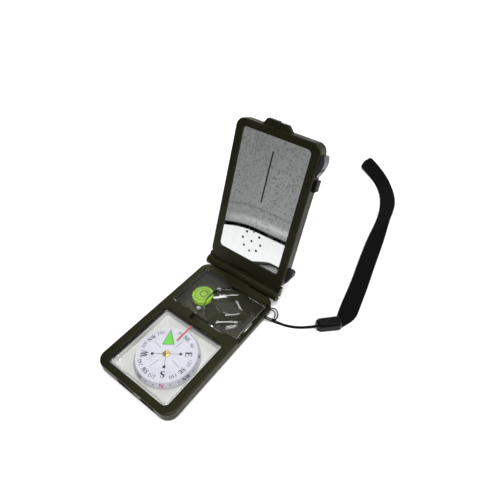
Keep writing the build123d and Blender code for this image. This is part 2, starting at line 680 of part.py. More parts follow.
with BuildPart() as lid_screws:
    with BuildSketch(lid_plane(7.6)):
        with Locations(*SCREWS):
            Circle(0.65)
    extrude(amount=5.7)
    with BuildSketch(lid_plane(8.6)):
        with Locations(*SCREWS):
            Circle(1.7)
    extrude(amount=1.15)
    with BuildSketch(lid_plane(9.0)):
        with Locations(*SCREWS):
            Rectangle(2.0, 0.5)
            Rectangle(0.5, 2.0)
    extrude(amount=1.0, mode=Mode.SUBTRACT)
keep(lid_screws, "lid_screws")

with BuildPart() as mirror:
    with BuildSketch(lid_plane(MIRROR_LIP + MIRROR_T)):
        with Locations((0, MIRROR_MID)):
            RectangleRounded(2 * MIRROR_X + 2.0, MIRROR_LEN + 2.0, 3.5)
        with Locations((0, VENT_S)):
            Circle(VENT_R, mode=Mode.SUBTRACT)
            with PolarLocations(VENT_RING_R, 8):
                Circle(VENT_R, mode=Mode.SUBTRACT)
    extrude(amount=MIRROR_T)
    with BuildSketch(lid_plane(MIRROR_LIP + 0.2)):
        with Locations((0, SIGHT_S)):
            Rectangle(SIGHT_W, SIGHT_L)
    extrude(amount=1.0, mode=Mode.SUBTRACT)
keep(mirror, "mirror")

with BuildPart() as sight_line:
    with BuildSketch(lid_plane(MIRROR_LIP + 0.2)):
        with Locations((0, SIGHT_S)):
            Rectangle(SIGHT_W, SIGHT_L)
    extrude(amount=0.2)
keep(sight_line, "sight_line")

with BuildPart() as mirror_cushion:
    with BuildSketch(lid_plane(LID_SPLIT)):
        with Locations((0, MIRROR_MID)):
            RectangleRounded(2 * MIRROR_X + 2.0, MIRROR_LEN + 2.0, 3.5)
            RectangleRounded(2 * MIRROR_X - 1.4, MIRROR_LEN - 1.4, 2.4, mode=Mode.SUBTRACT)
        with Locations((27.0, (TORCH_S0 + TORCH_S1) / 2), (27.0, SWITCH_S)):
            Rectangle(4.0, 14.0, mode=Mode.SUBTRACT)
    extrude(amount=LID_SPLIT - MIRROR_LIP - MIRROR_T)
keep(mirror_cushion, "mirror_cushion")

# ---------------------------------------------------------------- torch
TORCH_MID = (TORCH_S0 + TORCH_S1) / 2

with BuildPart() as torch_lens:
    with BuildSketch(lid_plane(TORCH_OUT)):
        with BuildLine():
            Polyline((29.8, TORCH_S1 - 0.8), (29.8, TORCH_S0 + 0.8), (SIDE_X, TORCH_S0 + 0.8))
            Polyline((SIDE_X, TORCH_S0 + 0.8), (SIDE_X + 0.1, TORCH_S0), (SIDE_X + 0.5, TORCH_S0))
            Spline(
                (SIDE_X + 0.5, TORCH_S0),
                (SIDE_X + 2.3, TORCH_S0 + 4.6),
                (SIDE_X + 3.2, TORCH_S0 + 9.4),
                (SIDE_X + 2.0, TORCH_S1),
            )
            Polyline((SIDE_X + 2.0, TORCH_S1), (SIDE_X + 0.1, TORCH_S1), (SIDE_X, TORCH_S1 - 0.8))
            Line((SIDE_X, TORCH_S1 - 0.8), (29.8, TORCH_S1 - 0.8))
        make_face()
    extrude(amount=TORCH_OUT - TORCH_IN)
keep(torch_lens, "torch_lens")

with BuildPart() as torch_led:
    with BuildSketch(Plane(origin=HINGE + ALONG * 93.6 + OUT * 5.6 + Vector(25.2, 0, 0), z_dir=(1, 0, 0))):
        Circle(1.5)
    extrude(amount=3.0)
    with BuildSketch(Plane(origin=HINGE + ALONG * 93.6 + OUT * 5.6 + Vector(25.2, 0, 0), z_dir=(1, 0, 0))):
        Circle(1.8)
    extrude(amount=0.8)
    fillet(torch_led.edges().group_by(Axis.X)[-1], 1.2)
keep(torch_led, "torch_led")

with BuildPart() as torch_switch:
    # ribbed knob outside, stem through the wall, shoe inside
    with BuildSketch(lid_plane(8.0)):
        with Locations((SIDE_X + 1.2, SWITCH_S)):
            Rectangle(2.2, 7.2)
    extrude(amount=5.6)
    fillet(torch_switch.edges().group_by(Axis.X)[-1], 0.6)
    with BuildSketch(lid_plane(6.6)):
        with Locations((SIDE_X - 1.0, SWITCH_S + 0.9)):
            Rectangle(3.0, 2.6)
    extrude(amount=2.8)
    with BuildSketch(lid_plane(8.1)):
        with Locations((SIDE_X + 2.4, SWITCH_S)):
            with GridLocations(1, 1.4, 1, 4):
                Rectangle(0.8, 0.6)
    extrude(amount=5.8, mode=Mode.SUBTRACT)
keep(torch_switch, "torch_switch")


with BuildPart() as battery_cells:
    for depth in (6.2, 8.95):
        with BuildSketch(lid_plane(depth)):
            with Locations((CELL_X, CELL_S)):
                Circle(CELL_R)
        extrude(amount=2.65)
        with BuildSketch(lid_plane(depth)):
            with Locations((CELL_X, CELL_S)):
                Circle(CELL_R + 0.1)
                Circle(CELL_R - 0.5, mode=Mode.SUBTRACT)
        extrude(amount=0.3, mode=Mode.SUBTRACT)
keep(battery_cells, "battery_cells")

with BuildPart() as battery_contacts:
    # a spring leaf under the cells and a leaf along the bay to the lamp
    with BuildSketch(lid_plane(3.45)):
        with Locations((CELL_X, CELL_S)):
            Rectangle(7.0, 7.0)
        with Locations((19.6, 90.0)):
            Rectangle(7.0, 2.6)
        with Locations((CELL_X + 3.0, 88.6)):
            Rectangle(2.6, 5.4)
    extrude(amount=0.3)
    with BuildSketch(lid_plane(9.35)):
        with Locations((CELL_X + 7.2, CELL_S)):
            Rectangle(3.0, 9.0)
        with Locations((CELL_X + 5.2, CELL_S)):
            Rectangle(3.0, 3.0)
    extrude(amount=0.3)
keep(battery_contacts, "battery_contacts")

with BuildPart() as battery_door:
    with BuildSketch(lid_plane(LID_T)):
        with Locations((CELL_X, 82.0)):
            RectangleRounded(18.0, 18.0, 1.9)
        with Locations((CELL_X, DOOR_SCREW_S)):
            Circle(0.8, mode=Mode.SUBTRACT)
    extrude(amount=0.8)
    with BuildSketch(lid_plane(LID_T)):
        with Locations((CELL_X, 88.6)):
            SlotOverall(9.0, 0.8)
        with Locations((CELL_X, 87.0)):
            SlotOverall(9.0, 0.8)
    extrude(amount=0.35, mode=Mode.SUBTRACT)
keep(battery_door, "battery_door")

with BuildPart() as battery_door_screw:
    with BuildSketch(lid_plane(LID_T)):
        with Locations((CELL_X, DOOR_SCREW_S)):
            Circle(0.55)
    extrude(amount=1.5)
    with BuildSketch(lid_plane(LID_T + 0.35)):
        with Locations((CELL_X, DOOR_SCREW_S)):
            Circle(1.2)
            Rectangle(1.6, 0.35, mode=Mode.SUBTRACT)
    extrude(amount=0.35)
keep(battery_door_screw, "battery_door_screw")

# ---------------------------------------------------------------- whistle
with BuildPart() as whistle:
    with BuildSketch(lid_plane(WHISTLE_OUT)):
        with BuildLine():
            Polyline(
                (22.7, WHISTLE_S0),
                (SIDE_X + 0.6, WHISTLE_S0),
                (SIDE_X + 3.4, WHISTLE_S0 + 6.2),
                (SIDE_X + 3.4, WHISTLE_S0 + 9.0),
                (SIDE_X + 2.4, WHISTLE_S1),
                (22.7, WHISTLE_S1),
                close=True,
            )
        make_face()
    extrude(amount=WHISTLE_OUT - WHISTLE_IN)
    fillet(whistle.edges().filter_by(Axis(HINGE, OUT)).group_by(Axis.X)[-1], 0.8)
    # windway from the mouthpiece, and the sound hole that faces the lid's back
    with BuildSketch(lid_plane(WHISTLE_OUT - 1.4)):
        with Locations((30.0, WHISTLE_S0 + 6.6)):
            Rectangle(10.0, 4.0)
    extrude(amount=1.2, mode=Mode.SUBTRACT)
    with BuildSketch(lid_plane(WHISTLE_OUT + 1)):
        with Locations((26.0, WHISTLE_S0 + 6.0)):
            Rectangle(1.6, 4.0)
    extrude(amount=4.0, mode=Mode.SUBTRACT)
keep(whistle, "whistle")

# ---------------------------------------------------------------- hygrometer and thermometer
with BuildPart() as hygrometer_window:
    with BuildSketch(lid_plane(LID_T - 0.8)):
        with Locations((0, VENT_S)):
            Circle(9.5)
    extrude(amount=0.7)
    with BuildSketch(lid_plane(LID_T - 0.2)):
        with Locations((0, VENT_S)):
            Circle(8.3)
    extrude(amount=0.7)
keep(hygrometer_window, "hygrometer_window")

with BuildPart() as hygrometer_dial:
    with BuildSketch(lid_plane(8.3)):
        with Locations((0, VENT_S)):
            Circle(9.4)
            Circle(0.9, mode=Mode.SUBTRACT)
    extrude(amount=0.5)
    # two pillars that hold the dial off the mirror, and the bridge between them for the pointer
    with BuildSketch(lid_plane(8.0)):
        with Locations((0, VENT_S - 7.8), (0, VENT_S + 7.8)):
            Circle(1.1)
    extrude(amount=8.0 - MIRROR_LIP - MIRROR_T - 0.05)
    with BuildSketch(lid_plane(4.4)):
        with Locations((0, VENT_S)):
            Rectangle(1.6, 15.6)
            Circle(1.2)
            Circle(0.45, mode=Mode.SUBTRACT)
    extrude(amount=0.6)
keep(hygrometer_dial, "hygrometer_dial")

with BuildPart() as hygrometer_pointer:
    with BuildSketch(lid_plane(9.2)):
        with Locations((0, VENT_S)):
            Circle(0.4)
    extrude(amount=5.3)
    with BuildSketch(lid_plane(9.2)):
        with BuildLine():
            Polyline(
                (-0.45, VENT_S - 2.4),
                (-0.25, VENT_S + 6.6),
                (0.25, VENT_S + 6.6),
                (0.45, VENT_S - 2.4),
                close=True,
            )
        make_face()
        with Locations((0, VENT_S)):
            Circle(0.9)
    extrude(amount=0.25)
keep(hygrometer_pointer, "hygrometer_pointer")

with BuildPart() as hygrometer_coil:
    # humidity-sensitive strip wound around the pointer's arbor without touching it
    with BuildSketch(lid_plane(7.0)):
        with Locations((0, VENT_S)):
            for radius in (1.3, 2.2, 3.1, 4.0):
                Circle(radius + 0.12)
                Circle(radius - 0.12, mode=Mode.SUBTRACT)
        with Locations((2.65, VENT_S)):
            Rectangle(2.9, 0.3)
        with Locations((5.6, VENT_S)):
            Rectangle(3.4, 0.6)
    extrude(amount=2.0)
keep(hygrometer_coil, "hygrometer_coil")

with BuildPart() as thermometer_window:
    with BuildSketch(lid_plane(LID_T - 0.8)):
        with Locations((THERMO_X, THERMO_S)):
            SlotOverall(46.0, 9.0, rotation=90)
    extrude(amount=0.7)
    with BuildSketch(lid_plane(LID_T - 0.2)):
        with Locations((THERMO_X, THERMO_S)):
            SlotOverall(43.8, 6.8, rotation=90)
    extrude(amount=0.7)
keep(thermometer_window, "thermometer_window")

with BuildPart() as thermometer_card:
    with BuildSketch(lid_plane(6.4)):
        with Locations((THERMO_X, THERMO_S)):
            SlotOverall(46.0, 9.4, rotation=90)
    extrude(amount=0.8)
    with BuildSketch(lid_plane(5.6)):
        with Locations((THERMO_X, 55.0), (THERMO_X, 85.0)):
            Rectangle(6.0, 1.6)
    extrude(amount=2.9)
keep(thermometer_card, "thermometer_card")

TUBE_N = 7.9

with BuildPart() as thermometer_tube:
    with BuildSketch(Plane(origin=HINGE + ALONG * 52.0 + OUT * TUBE_N + Vector(THERMO_X, 0, 0), z_dir=ALONG)):
        Circle(1.1)
        Circle(0.45, mode=Mode.SUBTRACT)
    extrude(amount=37.0)
keep(thermometer_tube, "thermometer_tube")

with BuildPart() as thermometer_spirit:
    with BuildSketch(Plane(origin=HINGE + ALONG * 51.95 + OUT * TUBE_N + Vector(THERMO_X, 0, 0), z_dir=ALONG)):
        Circle(0.4)
    extrude(amount=21.0)
    with BuildSketch(Plane(origin=HINGE + ALONG * 49.4 + OUT * TUBE_N + Vector(THERMO_X, 0, 0), z_dir=ALONG)):
        Circle(1.35)
    extrude(amount=2.55)
keep(thermometer_spirit, "thermometer_spirit")

# ================================================================ lanyard
FLOOR_Z = CORD_D / 2 + 0.1


def bend_radii(points):
    """The largest tangent arc at each inner point: 0.45 of the shorter run beside it."""
    radii = []
    for before, at, after in zip(points, points[1:], points[2:]):
        runs = ((Vector(at) - Vector(before)), (Vector(after) - Vector(at)))
        half_turn = radians(runs[0].get_angle(runs[1])) / 2
        radii.append(0.45 * min(run.length for run in runs) / tan(half_turn))
    return radii


def check_tube(node, part, length, section, radii):
    """Print the bends of a tube and how its volume compares with section times length."""
    share = part.volume / (section * length)
    print(node, "length", round(length, 1), "radii", [round(r, 1) for r in radii], "volume", round(share, 3))


# each strand: from the knot into the rear hole, behind the wall, out again and to the slider
KNOT = (36.3, 42.3, 1.7)
STRAND_1 = (
    (36.9, 43.3, 1.9),
    (37.3, 45.6, 2.0),
    (35.7, 48.3, 2.9),
    (32.9, 49.1, 4.9),
    (29.9, 46.6, 5.6),
    (27.4, 44.4, 5.5),
    (26.6, 41.5, 4.8),
    (27.4, 39.0, 4.4),
    (30.2, 38.9, 4.3),
    (32.9, 39.3, 3.6),
    (35.6, 41.2, 1.5),
    (40.6, 42.7, FLOOR_Z),
    (46.4, 44.3, FLOOR_Z),
    (51.6, 46.9, FLOOR_Z),
    (56.8, 50.7, FLOOR_Z),
    (62.0, 55.2, 1.5),
)
STRAND_2 = (
    (35.8, 43.4, 2.6),
    (35.7, 44.9, 3.2),
    (34.6, 46.3, 4.0),
    (32.6, 46.8, 5.3),
    (30.4, 45.2, 5.6),
    (28.0, 43.2, 5.2),
    (27.9, 41.3, 4.5),
    (28.9, 40.1, 4.3),
    (31.6, 40.1, 4.2),
    (33.8, 41.2, 3.0),
    (36.3, 42.9, 1.2),
    (41.0, 43.8, FLOOR_Z),
    (46.1, 45.3, FLOOR_Z),
    (51.1, 47.9, FLOOR_Z),
    (56.2, 51.6, FLOOR_Z),
    (61.4, 56.0, 1.5),
)
for number, points in ((1, STRAND_1), (2, STRAND_2)):
    radii = bend_radii(points)
    with BuildPart() as lanyard_cord:
        with BuildLine():
            route = FilletPolyline(*points, radius=radii)
        with BuildSketch(Plane(origin=route @ 0, z_dir=route % 0)):
            Circle(CORD_D / 2)
        sweep(path=route)
    check_tube(f"lanyard_cord_{number}", lanyard_cord.part, route.length, pi * CORD_D**2 / 4, radii)
    keep(lanyard_cord, f"lanyard_cord_{number}")

with BuildPart() as cord_knot:
    with Locations(KNOT):
        Sphere(1.7)
keep(cord_knot, "cord_knot")

SLIDER_MID = (67.8, 61.0)
SLIDER_TURN = 44.6  # degrees from +X to the slider's long axis
SLIDER_L = 16.5
SLIDER_H = 6.8
SLIDER_PLANE = Plane(origin=(*SLIDER_MID, 0)).rotated((0, 0, SLIDER_TURN))

with BuildPart() as cord_slider:
    with BuildSketch(SLIDER_PLANE):
        with BuildLine():
            Polyline(
                (-SLIDER_L / 2, -2.4),
                (-SLIDER_L / 2 + 2.4, -3.9),
                (SLIDER_L / 2 - 1.6, -4.1),
                (SLIDER_L / 2, -3.2),
                (SLIDER_L / 2, 3.2),
                (SLIDER_L / 2 - 1.6, 4.1),
                (-SLIDER_L / 2 + 2.4, 3.9),
                (-SLIDER_L / 2, 2.4),
                close=True,
            )
        make_face()
    extrude(amount=SLIDER_H)
    chamfer(cord_slider.edges().group_by(Axis.Z)[-1], 1.4)
    chamfer(cord_slider.edges().group_by(Axis.Z)[0], 0.6)
keep(cord_slider, "cord_slider")

STRAP_ROUTE = (
    (72.4, 66.8),
    (74.3, 74.0),
    (71.6, 87.0),
    (68.2, 105.5),
    (64.0, 124.0),
    (58.4, 150.0),
    (52.8, 178.5),
    (46.4, 205.5),
    (35.0, 225.8),
    (18.4, 241.0),
    (1.0, 249.5),
)

with BuildPart() as wrist_strap:
    strap_radii = bend_radii(STRAP_ROUTE)
    with BuildLine(Plane.XY.offset(0.05 + STRAP_T / 2)):
        strap_line = FilletPolyline(*STRAP_ROUTE, radius=strap_radii)
    with BuildSketch(Plane(origin=strap_line @ 0, x_dir=(0, 0, 1), z_dir=strap_line % 0)):
        Rectangle(STRAP_T, STRAP_W)
    sweep(path=strap_line)
check_tube("wrist_strap", wrist_strap.part, strap_line.length, STRAP_W * STRAP_T, strap_radii)
keep(wrist_strap, "wrist_strap")

for piece in PIECES:
    export_step(piece, f"parts/{piece.label}.step")
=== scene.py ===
from math import cos, exp, pi, radians, sin

import bmesh
import bpy
from mathutils import Matrix, Vector


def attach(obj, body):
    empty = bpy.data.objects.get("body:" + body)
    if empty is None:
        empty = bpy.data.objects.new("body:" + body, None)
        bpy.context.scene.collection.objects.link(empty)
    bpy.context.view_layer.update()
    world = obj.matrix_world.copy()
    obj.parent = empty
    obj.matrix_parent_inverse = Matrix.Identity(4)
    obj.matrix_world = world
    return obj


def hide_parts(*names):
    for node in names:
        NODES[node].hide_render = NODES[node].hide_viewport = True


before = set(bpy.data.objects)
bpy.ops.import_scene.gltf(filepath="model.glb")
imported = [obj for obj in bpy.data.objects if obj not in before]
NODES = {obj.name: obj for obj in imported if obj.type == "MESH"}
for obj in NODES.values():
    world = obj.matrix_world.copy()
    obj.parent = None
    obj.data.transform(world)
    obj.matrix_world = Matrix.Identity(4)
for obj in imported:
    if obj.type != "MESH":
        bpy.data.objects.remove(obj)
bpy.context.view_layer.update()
MM = 0.001

# ---------------------------------------------------------------- camera
AZIMUTH = radians(37.46)
ELEVATION = radians(44.98)
ROLL = radians(-0.38)
back = Vector((sin(AZIMUTH) * cos(ELEVATION), -cos(AZIMUTH) * cos(ELEVATION), sin(ELEVATION)))
level_right = Vector((cos(AZIMUTH), sin(AZIMUTH), 0))
level_up = back.cross(level_right)
right = cos(ROLL) * level_right + sin(ROLL) * level_up
up = cos(ROLL) * level_up - sin(ROLL) * level_right
camera_data = bpy.data.cameras.new("camera")
camera_data.sensor_width = 36
camera_data.lens = 29.93
camera_data.clip_start = 0.01
camera = bpy.data.objects.new("camera", camera_data)
bpy.context.scene.collection.objects.link(camera)
axes = Matrix((right, up, back)).transposed()
camera.matrix_world = Matrix.Translation((0.1244, -0.0985, 0.2343)) @ axes.to_4x4()
bpy.context.scene.camera = camera
bpy.context.scene.view_settings.view_transform = "Standard"


# ---------------------------------------------------------------- helpers for objects
def link(name, data, material=None):
    obj = bpy.data.objects.new(name, data)
    bpy.context.scene.collection.objects.link(obj)
    if material:
        obj.data.materials.append(material)
    return obj


def mesh_object(name, verts, faces, material=None, smooth=True, uvs=None):
    """uvs is one pair per vertex, in metres along the surface."""
    mesh = bpy.data.meshes.new(name)
    mesh.from_pydata([tuple(v) for v in verts], [], faces)
    if uvs:
        layer = mesh.uv_layers.new(name="UVMap")
        for loop in mesh.loops:
            layer.data[loop.index].uv = uvs[loop.vertex_index]
    mesh.polygons.foreach_set("use_smooth", [smooth] * len(mesh.polygons))
    mesh.update()
    return link(name, mesh, material)


def cord_curve(name, points, radius, cyclic=False):
    """A NURBS tube whose control points are given in millimetres."""
    curve = bpy.data.curves.new(name, "CURVE")
    curve.dimensions = "3D"
    curve.bevel_depth = radius / MM
    curve.bevel_resolution = 5
    curve.resolution_u = 10
    curve.use_fill_caps = True
    spline = curve.splines.new("NURBS")
    spline.points.add(len(points) - 1)
    for point, (x, y, z) in zip(spline.points, points):
        point.co = (x * MM, y * MM, z * MM, 1)
        point.radius = MM
    spline.order_u = 3
    if cyclic:
        spline.use_cyclic_u = True
    else:
        spline.use_endpoint_u = True
    return link(name, curve)


def spline_points(points):
    """Points read from the NURBS line through these control points, in metres."""
    obj = cord_curve("route", points, 0)
    obj.data.resolution_u = 24
    mesh = bpy.data.meshes.new_from_object(obj)
    found = [v.co.copy() for v in mesh.vertices]
    curve = obj.data
    bpy.data.objects.remove(obj)
    bpy.data.curves.remove(curve)
    bpy.data.meshes.remove(mesh)
    return found


# ---------------------------------------------------------------- lanyard
CORD_D = 0.9
FLOOR_Z = 0.55
STRAND_1 = (
    (36.9, 43.3, 1.9),
    (37.3, 45.6, 2.0),
    (35.7, 48.3, 2.9),
    (32.9, 49.1, 4.9),
    (29.9, 46.6, 5.6),
    (27.4, 44.4, 5.5),
    (26.6, 41.5, 4.8),
    (27.4, 39.0, 4.4),
    (30.2, 38.9, 4.3),
    (32.9, 39.3, 3.6),
    (35.6, 41.2, 1.5),
    (40.6, 42.7, FLOOR_Z),
    (46.4, 44.3, FLOOR_Z),
    (51.6, 46.9, FLOOR_Z),
    (56.8, 50.7, FLOOR_Z),
    (62.0, 55.2, 1.5),
)
STRAND_2 = (
    (35.8, 43.4, 2.6),
    (35.7, 44.9, 3.2),
    (34.6, 46.3, 4.0),
    (32.6, 46.8, 5.3),
    (30.4, 45.2, 5.6),
    (28.0, 43.2, 5.2),
    (27.9, 41.3, 4.5),
    (28.9, 40.1, 4.3),
    (31.6, 40.1, 4.2),
    (33.8, 41.2, 3.0),
    (36.3, 42.9, 1.2),
    (41.0, 43.8, FLOOR_Z),
    (46.1, 45.3, FLOOR_Z),
    (51.1, 47.9, FLOOR_Z),
    (56.2, 51.6, FLOOR_Z),
    (61.4, 56.0, 1.5),
)
STRAP_ROUTE = (
    (72.4, 66.8),
    (74.3, 74.0),
    (71.6, 87.0),
    (68.2, 105.5),
    (64.0, 124.0),
    (58.4, 150.0),
    (52.8, 178.5),
    (46.4, 205.5),
    (35.0, 225.8),
    (18.4, 241.0),
    (1.0, 249.5),
)
STRAP_W = 12.5
STRAP_Z = 1.4  # height of the folded strap's middle
LAYER_T = 1.15 * MM  # one layer of webbing
HALF_GAP = 0.70 * MM  # from the strap's middle to the middle of each layer
FOLD_L = 2 * MM  # webbing taken up by the fold
FOLD_STEPS = 8
RIB = 2.1 * MM  # pitch of the ribs along the strap's edges
KNOT = Vector((36.3, 42.3, 1.7)) * MM

strands = [
    cord_curve(f"lanyard_strand_{number}", points, CORD_D / 2 * MM)
    for number, points in ((1, STRAND_1), (2, STRAND_2))
]


def strap_mesh(name, centre):
    """Two layers of webbing, joined by a fold at the far end, and the line midway between them."""
    count = len(centre)
    reach = [0.0]
    for a, b in zip(centre, centre[1:]):
        reach.append(reach[-1] + (b - a).length)
    total = reach[-1]
    across_points = 22
    line = []
    verts, uvs = [], []
    stations = []  # (middle point, sideways, up, distance along the webbing, width)
    for side in (-1, 1):
        order = range(count) if side < 0 else range(count - 1, -1, -1)
        for i in order:
            ahead = centre[min(i + 1, count - 1)] - centre[max(i - 1, 0)]
            ahead.normalize()
            sideways = Vector((ahead.y, -ahead.x, 0))
            t = reach[i] / total
            # it leans and narrows where it twists, and is gathered where it enters the slider
            lean = 0.40 * exp(-(((t - 0.56) / 0.10) ** 2))
            lean += 0.85 * min(1.0, max(0.0, (t - 0.78) / 0.2)) ** 1.5
            width = STRAP_W * MM * (1 - 0.36 * exp(-((t / 0.035) ** 2)))
            width *= 1 - 0.12 * exp(-(((t - 0.56) / 0.10) ** 2)) - 0.42 * max(0.0, (t - 0.972) / 0.028) ** 3
            upward = Vector((0, 0, 1))
            flat = sideways * cos(lean) + upward * sin(lean)
            normal = upward * cos(lean) - sideways * sin(lean)
            lift = max(0.0, abs(sin(lean)) * width / 2 - 0.2 * MM)
            gap = side * HALF_GAP * min(1.0, 0.35 + (total - reach[i]) / (3 * MM))
            slip = side * 0.25 * MM * sin(9 * t + 1.0)
            if side < 0:
                line.append(centre[i] + upward * lift)
            middle = centre[i] + upward * lift + normal * gap + flat * slip
            along = reach[i] if side < 0 else 2 * total - reach[i] + FOLD_L
            stations.append((middle, flat, normal, along, width))
        if side < 0:
            last = centre[-1] + upward * lift
            side_end, up_end = flat, normal
            for k in range(1, FOLD_STEPS):
                turn = -pi / 2 + pi * k / FOLD_STEPS
                ahead = (centre[-1] - centre[-2]).normalized()
                middle = last + ahead * HALF_GAP * 0.8 * cos(turn) + up_end * HALF_GAP * sin(turn)
                out = (ahead * cos(turn) + up_end * sin(turn)).normalized()
                along = total + FOLD_L * k / FOLD_STEPS
                stations.append((middle, side_end, -out, along, STRAP_W * MM * 0.55))
    for middle, flat, normal, along, width in stations:
        edge = 1 + 0.035 * sin(2 * pi * along / RIB)
        for j in range(across_points):
            a = 2 * pi * j / across_points
            c, s = cos(a), sin(a)
            x = (abs(c) ** 0.55) * (1 if c > 0 else -1) * width / 2 * edge
            z = (abs(s) ** 0.75) * (1 if s > 0 else -1) * LAYER_T / 2
            z += 0.05 * MM * sin(2 * pi * x / (2.3 * MM)) * abs(s)
            verts.append(middle + flat * x + normal * z)
            uvs.append((x, along))
    faces = []
    rings = len(stations)
    for i in range(rings - 1):
        for j in range(across_points):
            k = (j + 1) % across_points
            a, b = i * across_points, (i + 1) * across_points
            faces.append((a + j, b + j, b + k, a + k))
    faces.append(tuple(range(across_points)))
    faces.append(tuple((rings - 1) * across_points + j for j in reversed(range(across_points))))
    return mesh_object(name, verts, faces, uvs=uvs), line


strap_path = spline_points([(x, y, STRAP_Z) for x, y in STRAP_ROUTE])
strap_steps = []
for a, b in zip(strap_path, strap_path[1:]):
    pieces = max(1, round((b - a).length / (0.5 * MM)))
    strap_steps += [a.lerp(b, k / pieces) for k in range(pieces)]
strap_steps.append(strap_path[-1])
wrist_strap, strap_line = strap_mesh("wrist_loop_webbing", strap_steps)

# the hitch: an overhand knot where the two strands leave their own loop
knot_line = []
for k in range(24):
    t = 2 * pi * k / 24
    knot_line.append((
        KNOT.x / MM + 0.36 * (sin(t) + 2 * sin(2 * t)),
        KNOT.y / MM + 0.36 * (cos(t) - 2 * cos(2 * t)),
        KNOT.z / MM - 0.62 * sin(3 * t),
    ))
hitch = cord_curve("lanyard_hitch", knot_line, CORD_D / 2 * MM, cyclic=True)

for strand, length, node in zip(strands, (0.0611, 0.0527), ("lanyard_cord_1", "lanyard_cord_2")):
    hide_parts(node)
    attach(strand, "base")
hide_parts("cord_knot")
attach(hitch, "base")
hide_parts("wrist_strap")
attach(wrist_strap, "base")


# ---------------------------------------------------------------- helpers for materials
class Nodes:
    """A material's node tree, with short calls for the nodes used here."""

    def __init__(self, name):
        self.material = bpy.data.materials.new(name)
        self.material.use_nodes = True
        self.tree = self.material.node_tree
        self.tree.nodes.clear()
        self.out = self.add("ShaderNodeOutputMaterial")
        self.place = self.add("ShaderNodeTexCoord").outputs["Object"]

    def add(self, kind, inputs=None, **settings):
        node = self.tree.nodes.new(kind)
        for key, value in settings.items():
            setattr(node, key, value)
        for key, value in (inputs or {}).items():
            if isinstance(value, bpy.types.NodeSocket):
                self.tree.links.new(value, node.inputs[key])
            else:
                node.inputs[key].default_value = value
        return node

    def noise(self, scale, detail=3.0, place=None, rough=0.55):
        node = self.add("ShaderNodeTexNoise",
                        {"Vector": place or self.place, "Scale": scale, "Detail": detail, "Roughness": rough})
        return node.outputs["Fac"]

    def remap(self, value, low, high, to_low, to_high):
        node = self.add("ShaderNodeMapRange", {"Value": value, "From Min": low, "From Max": high,
                                               "To Min": to_low, "To Max": to_high})
        return node.outputs["Result"]

    def math(self, operation, a, b=0.0):
        node = self.add("ShaderNodeMath", {0: a, 1: b}, operation=operation)
        return node.outputs[0]

    def blend(self, share, a, b):
        """Colour a where share is 0, and b where it is 1."""
        node = self.add("ShaderNodeMix", data_type="RGBA")
        for socket, value in ((node.inputs[0], share), (node.inputs[6], a), (node.inputs[7], b)):
            if isinstance(value, bpy.types.NodeSocket):
                self.tree.links.new(value, socket)
            else:
                socket.default_value = value if isinstance(value, (int, float)) else (*value, 1)
        return node.outputs[2]

    def bump(self, height, strength, distance, normal=None):
        inputs = {"Height": height, "Strength": strength, "Distance": distance}
        if normal:
            inputs["Normal"] = normal
        return self.add("ShaderNodeBump", inputs).outputs["Normal"]

    def rounded(self, radius):
        return self.add("ShaderNodeBevel", {"Radius": radius}, samples=4).outputs["Normal"]

    def edges(self, rounded):
        """1 near an outer or inner edge, and 0 on the flats."""
        flat = self.add("ShaderNodeNewGeometry").outputs["Normal"]
        dot = self.add("ShaderNodeVectorMath", {0: rounded, 1: flat}, operation="DOT_PRODUCT").outputs["Value"]
        return self.remap(dot, 0.995, 0.86, 0.0, 1.0)

    def shade(self, **inputs):
        named = {key.replace("_", " "): value for key, value in inputs.items()}
        for key, value in named.items():
            if isinstance(value, tuple) and len(value) == 3:
                named[key] = (*value, 1)
        shader = self.add("ShaderNodeBsdfPrincipled", named)
        self.tree.links.new(shader.outputs[0], self.out.inputs["Surface"])
        return shader


def moulded(name, dark, light, rough, grain, grain_scale, edge, radius=0.35 * MM, coat=0.0, specular=0.5,
            reflected=(1, 1, 1)):
    """Moulded plastic: spark-eroded grain, faint flow marks, handling shine, and paler edges that are partly
    wear and partly a painted highlight.
    """
    n = Nodes(name)
    rounded = n.rounded(radius)
    flow = n.noise(60, 4)
    scuffs = n.noise(420, 6, rough=0.7)
    colour = n.blend(n.remap(flow, 0.35, 0.65, 0.0, 1.0), dark, light)
    # edges painted paler: a painted highlight along outer and inner edges, broken up like wear
    worn_and_highlit = n.math("MULTIPLY", n.edges(rounded), n.remap(scuffs, 0.42, 0.62, 0.15, 0.9))
    colour = n.blend(worn_and_highlit, colour, edge)
    shine = n.remap(n.math("ADD", flow, n.math("MULTIPLY", scuffs, 0.5)), 0.55, 1.0, rough - 0.07, rough + 0.09)
    normal = n.bump(n.noise(grain_scale, 2), grain, 0.06 * MM, rounded)
    n.shade(Base_Color=colour, Roughness=shine, Normal=normal, Coat_Weight=coat, Coat_Roughness=0.08,
            Specular_IOR_Level=specular, Specular_Tint=reflected)
    return n.material


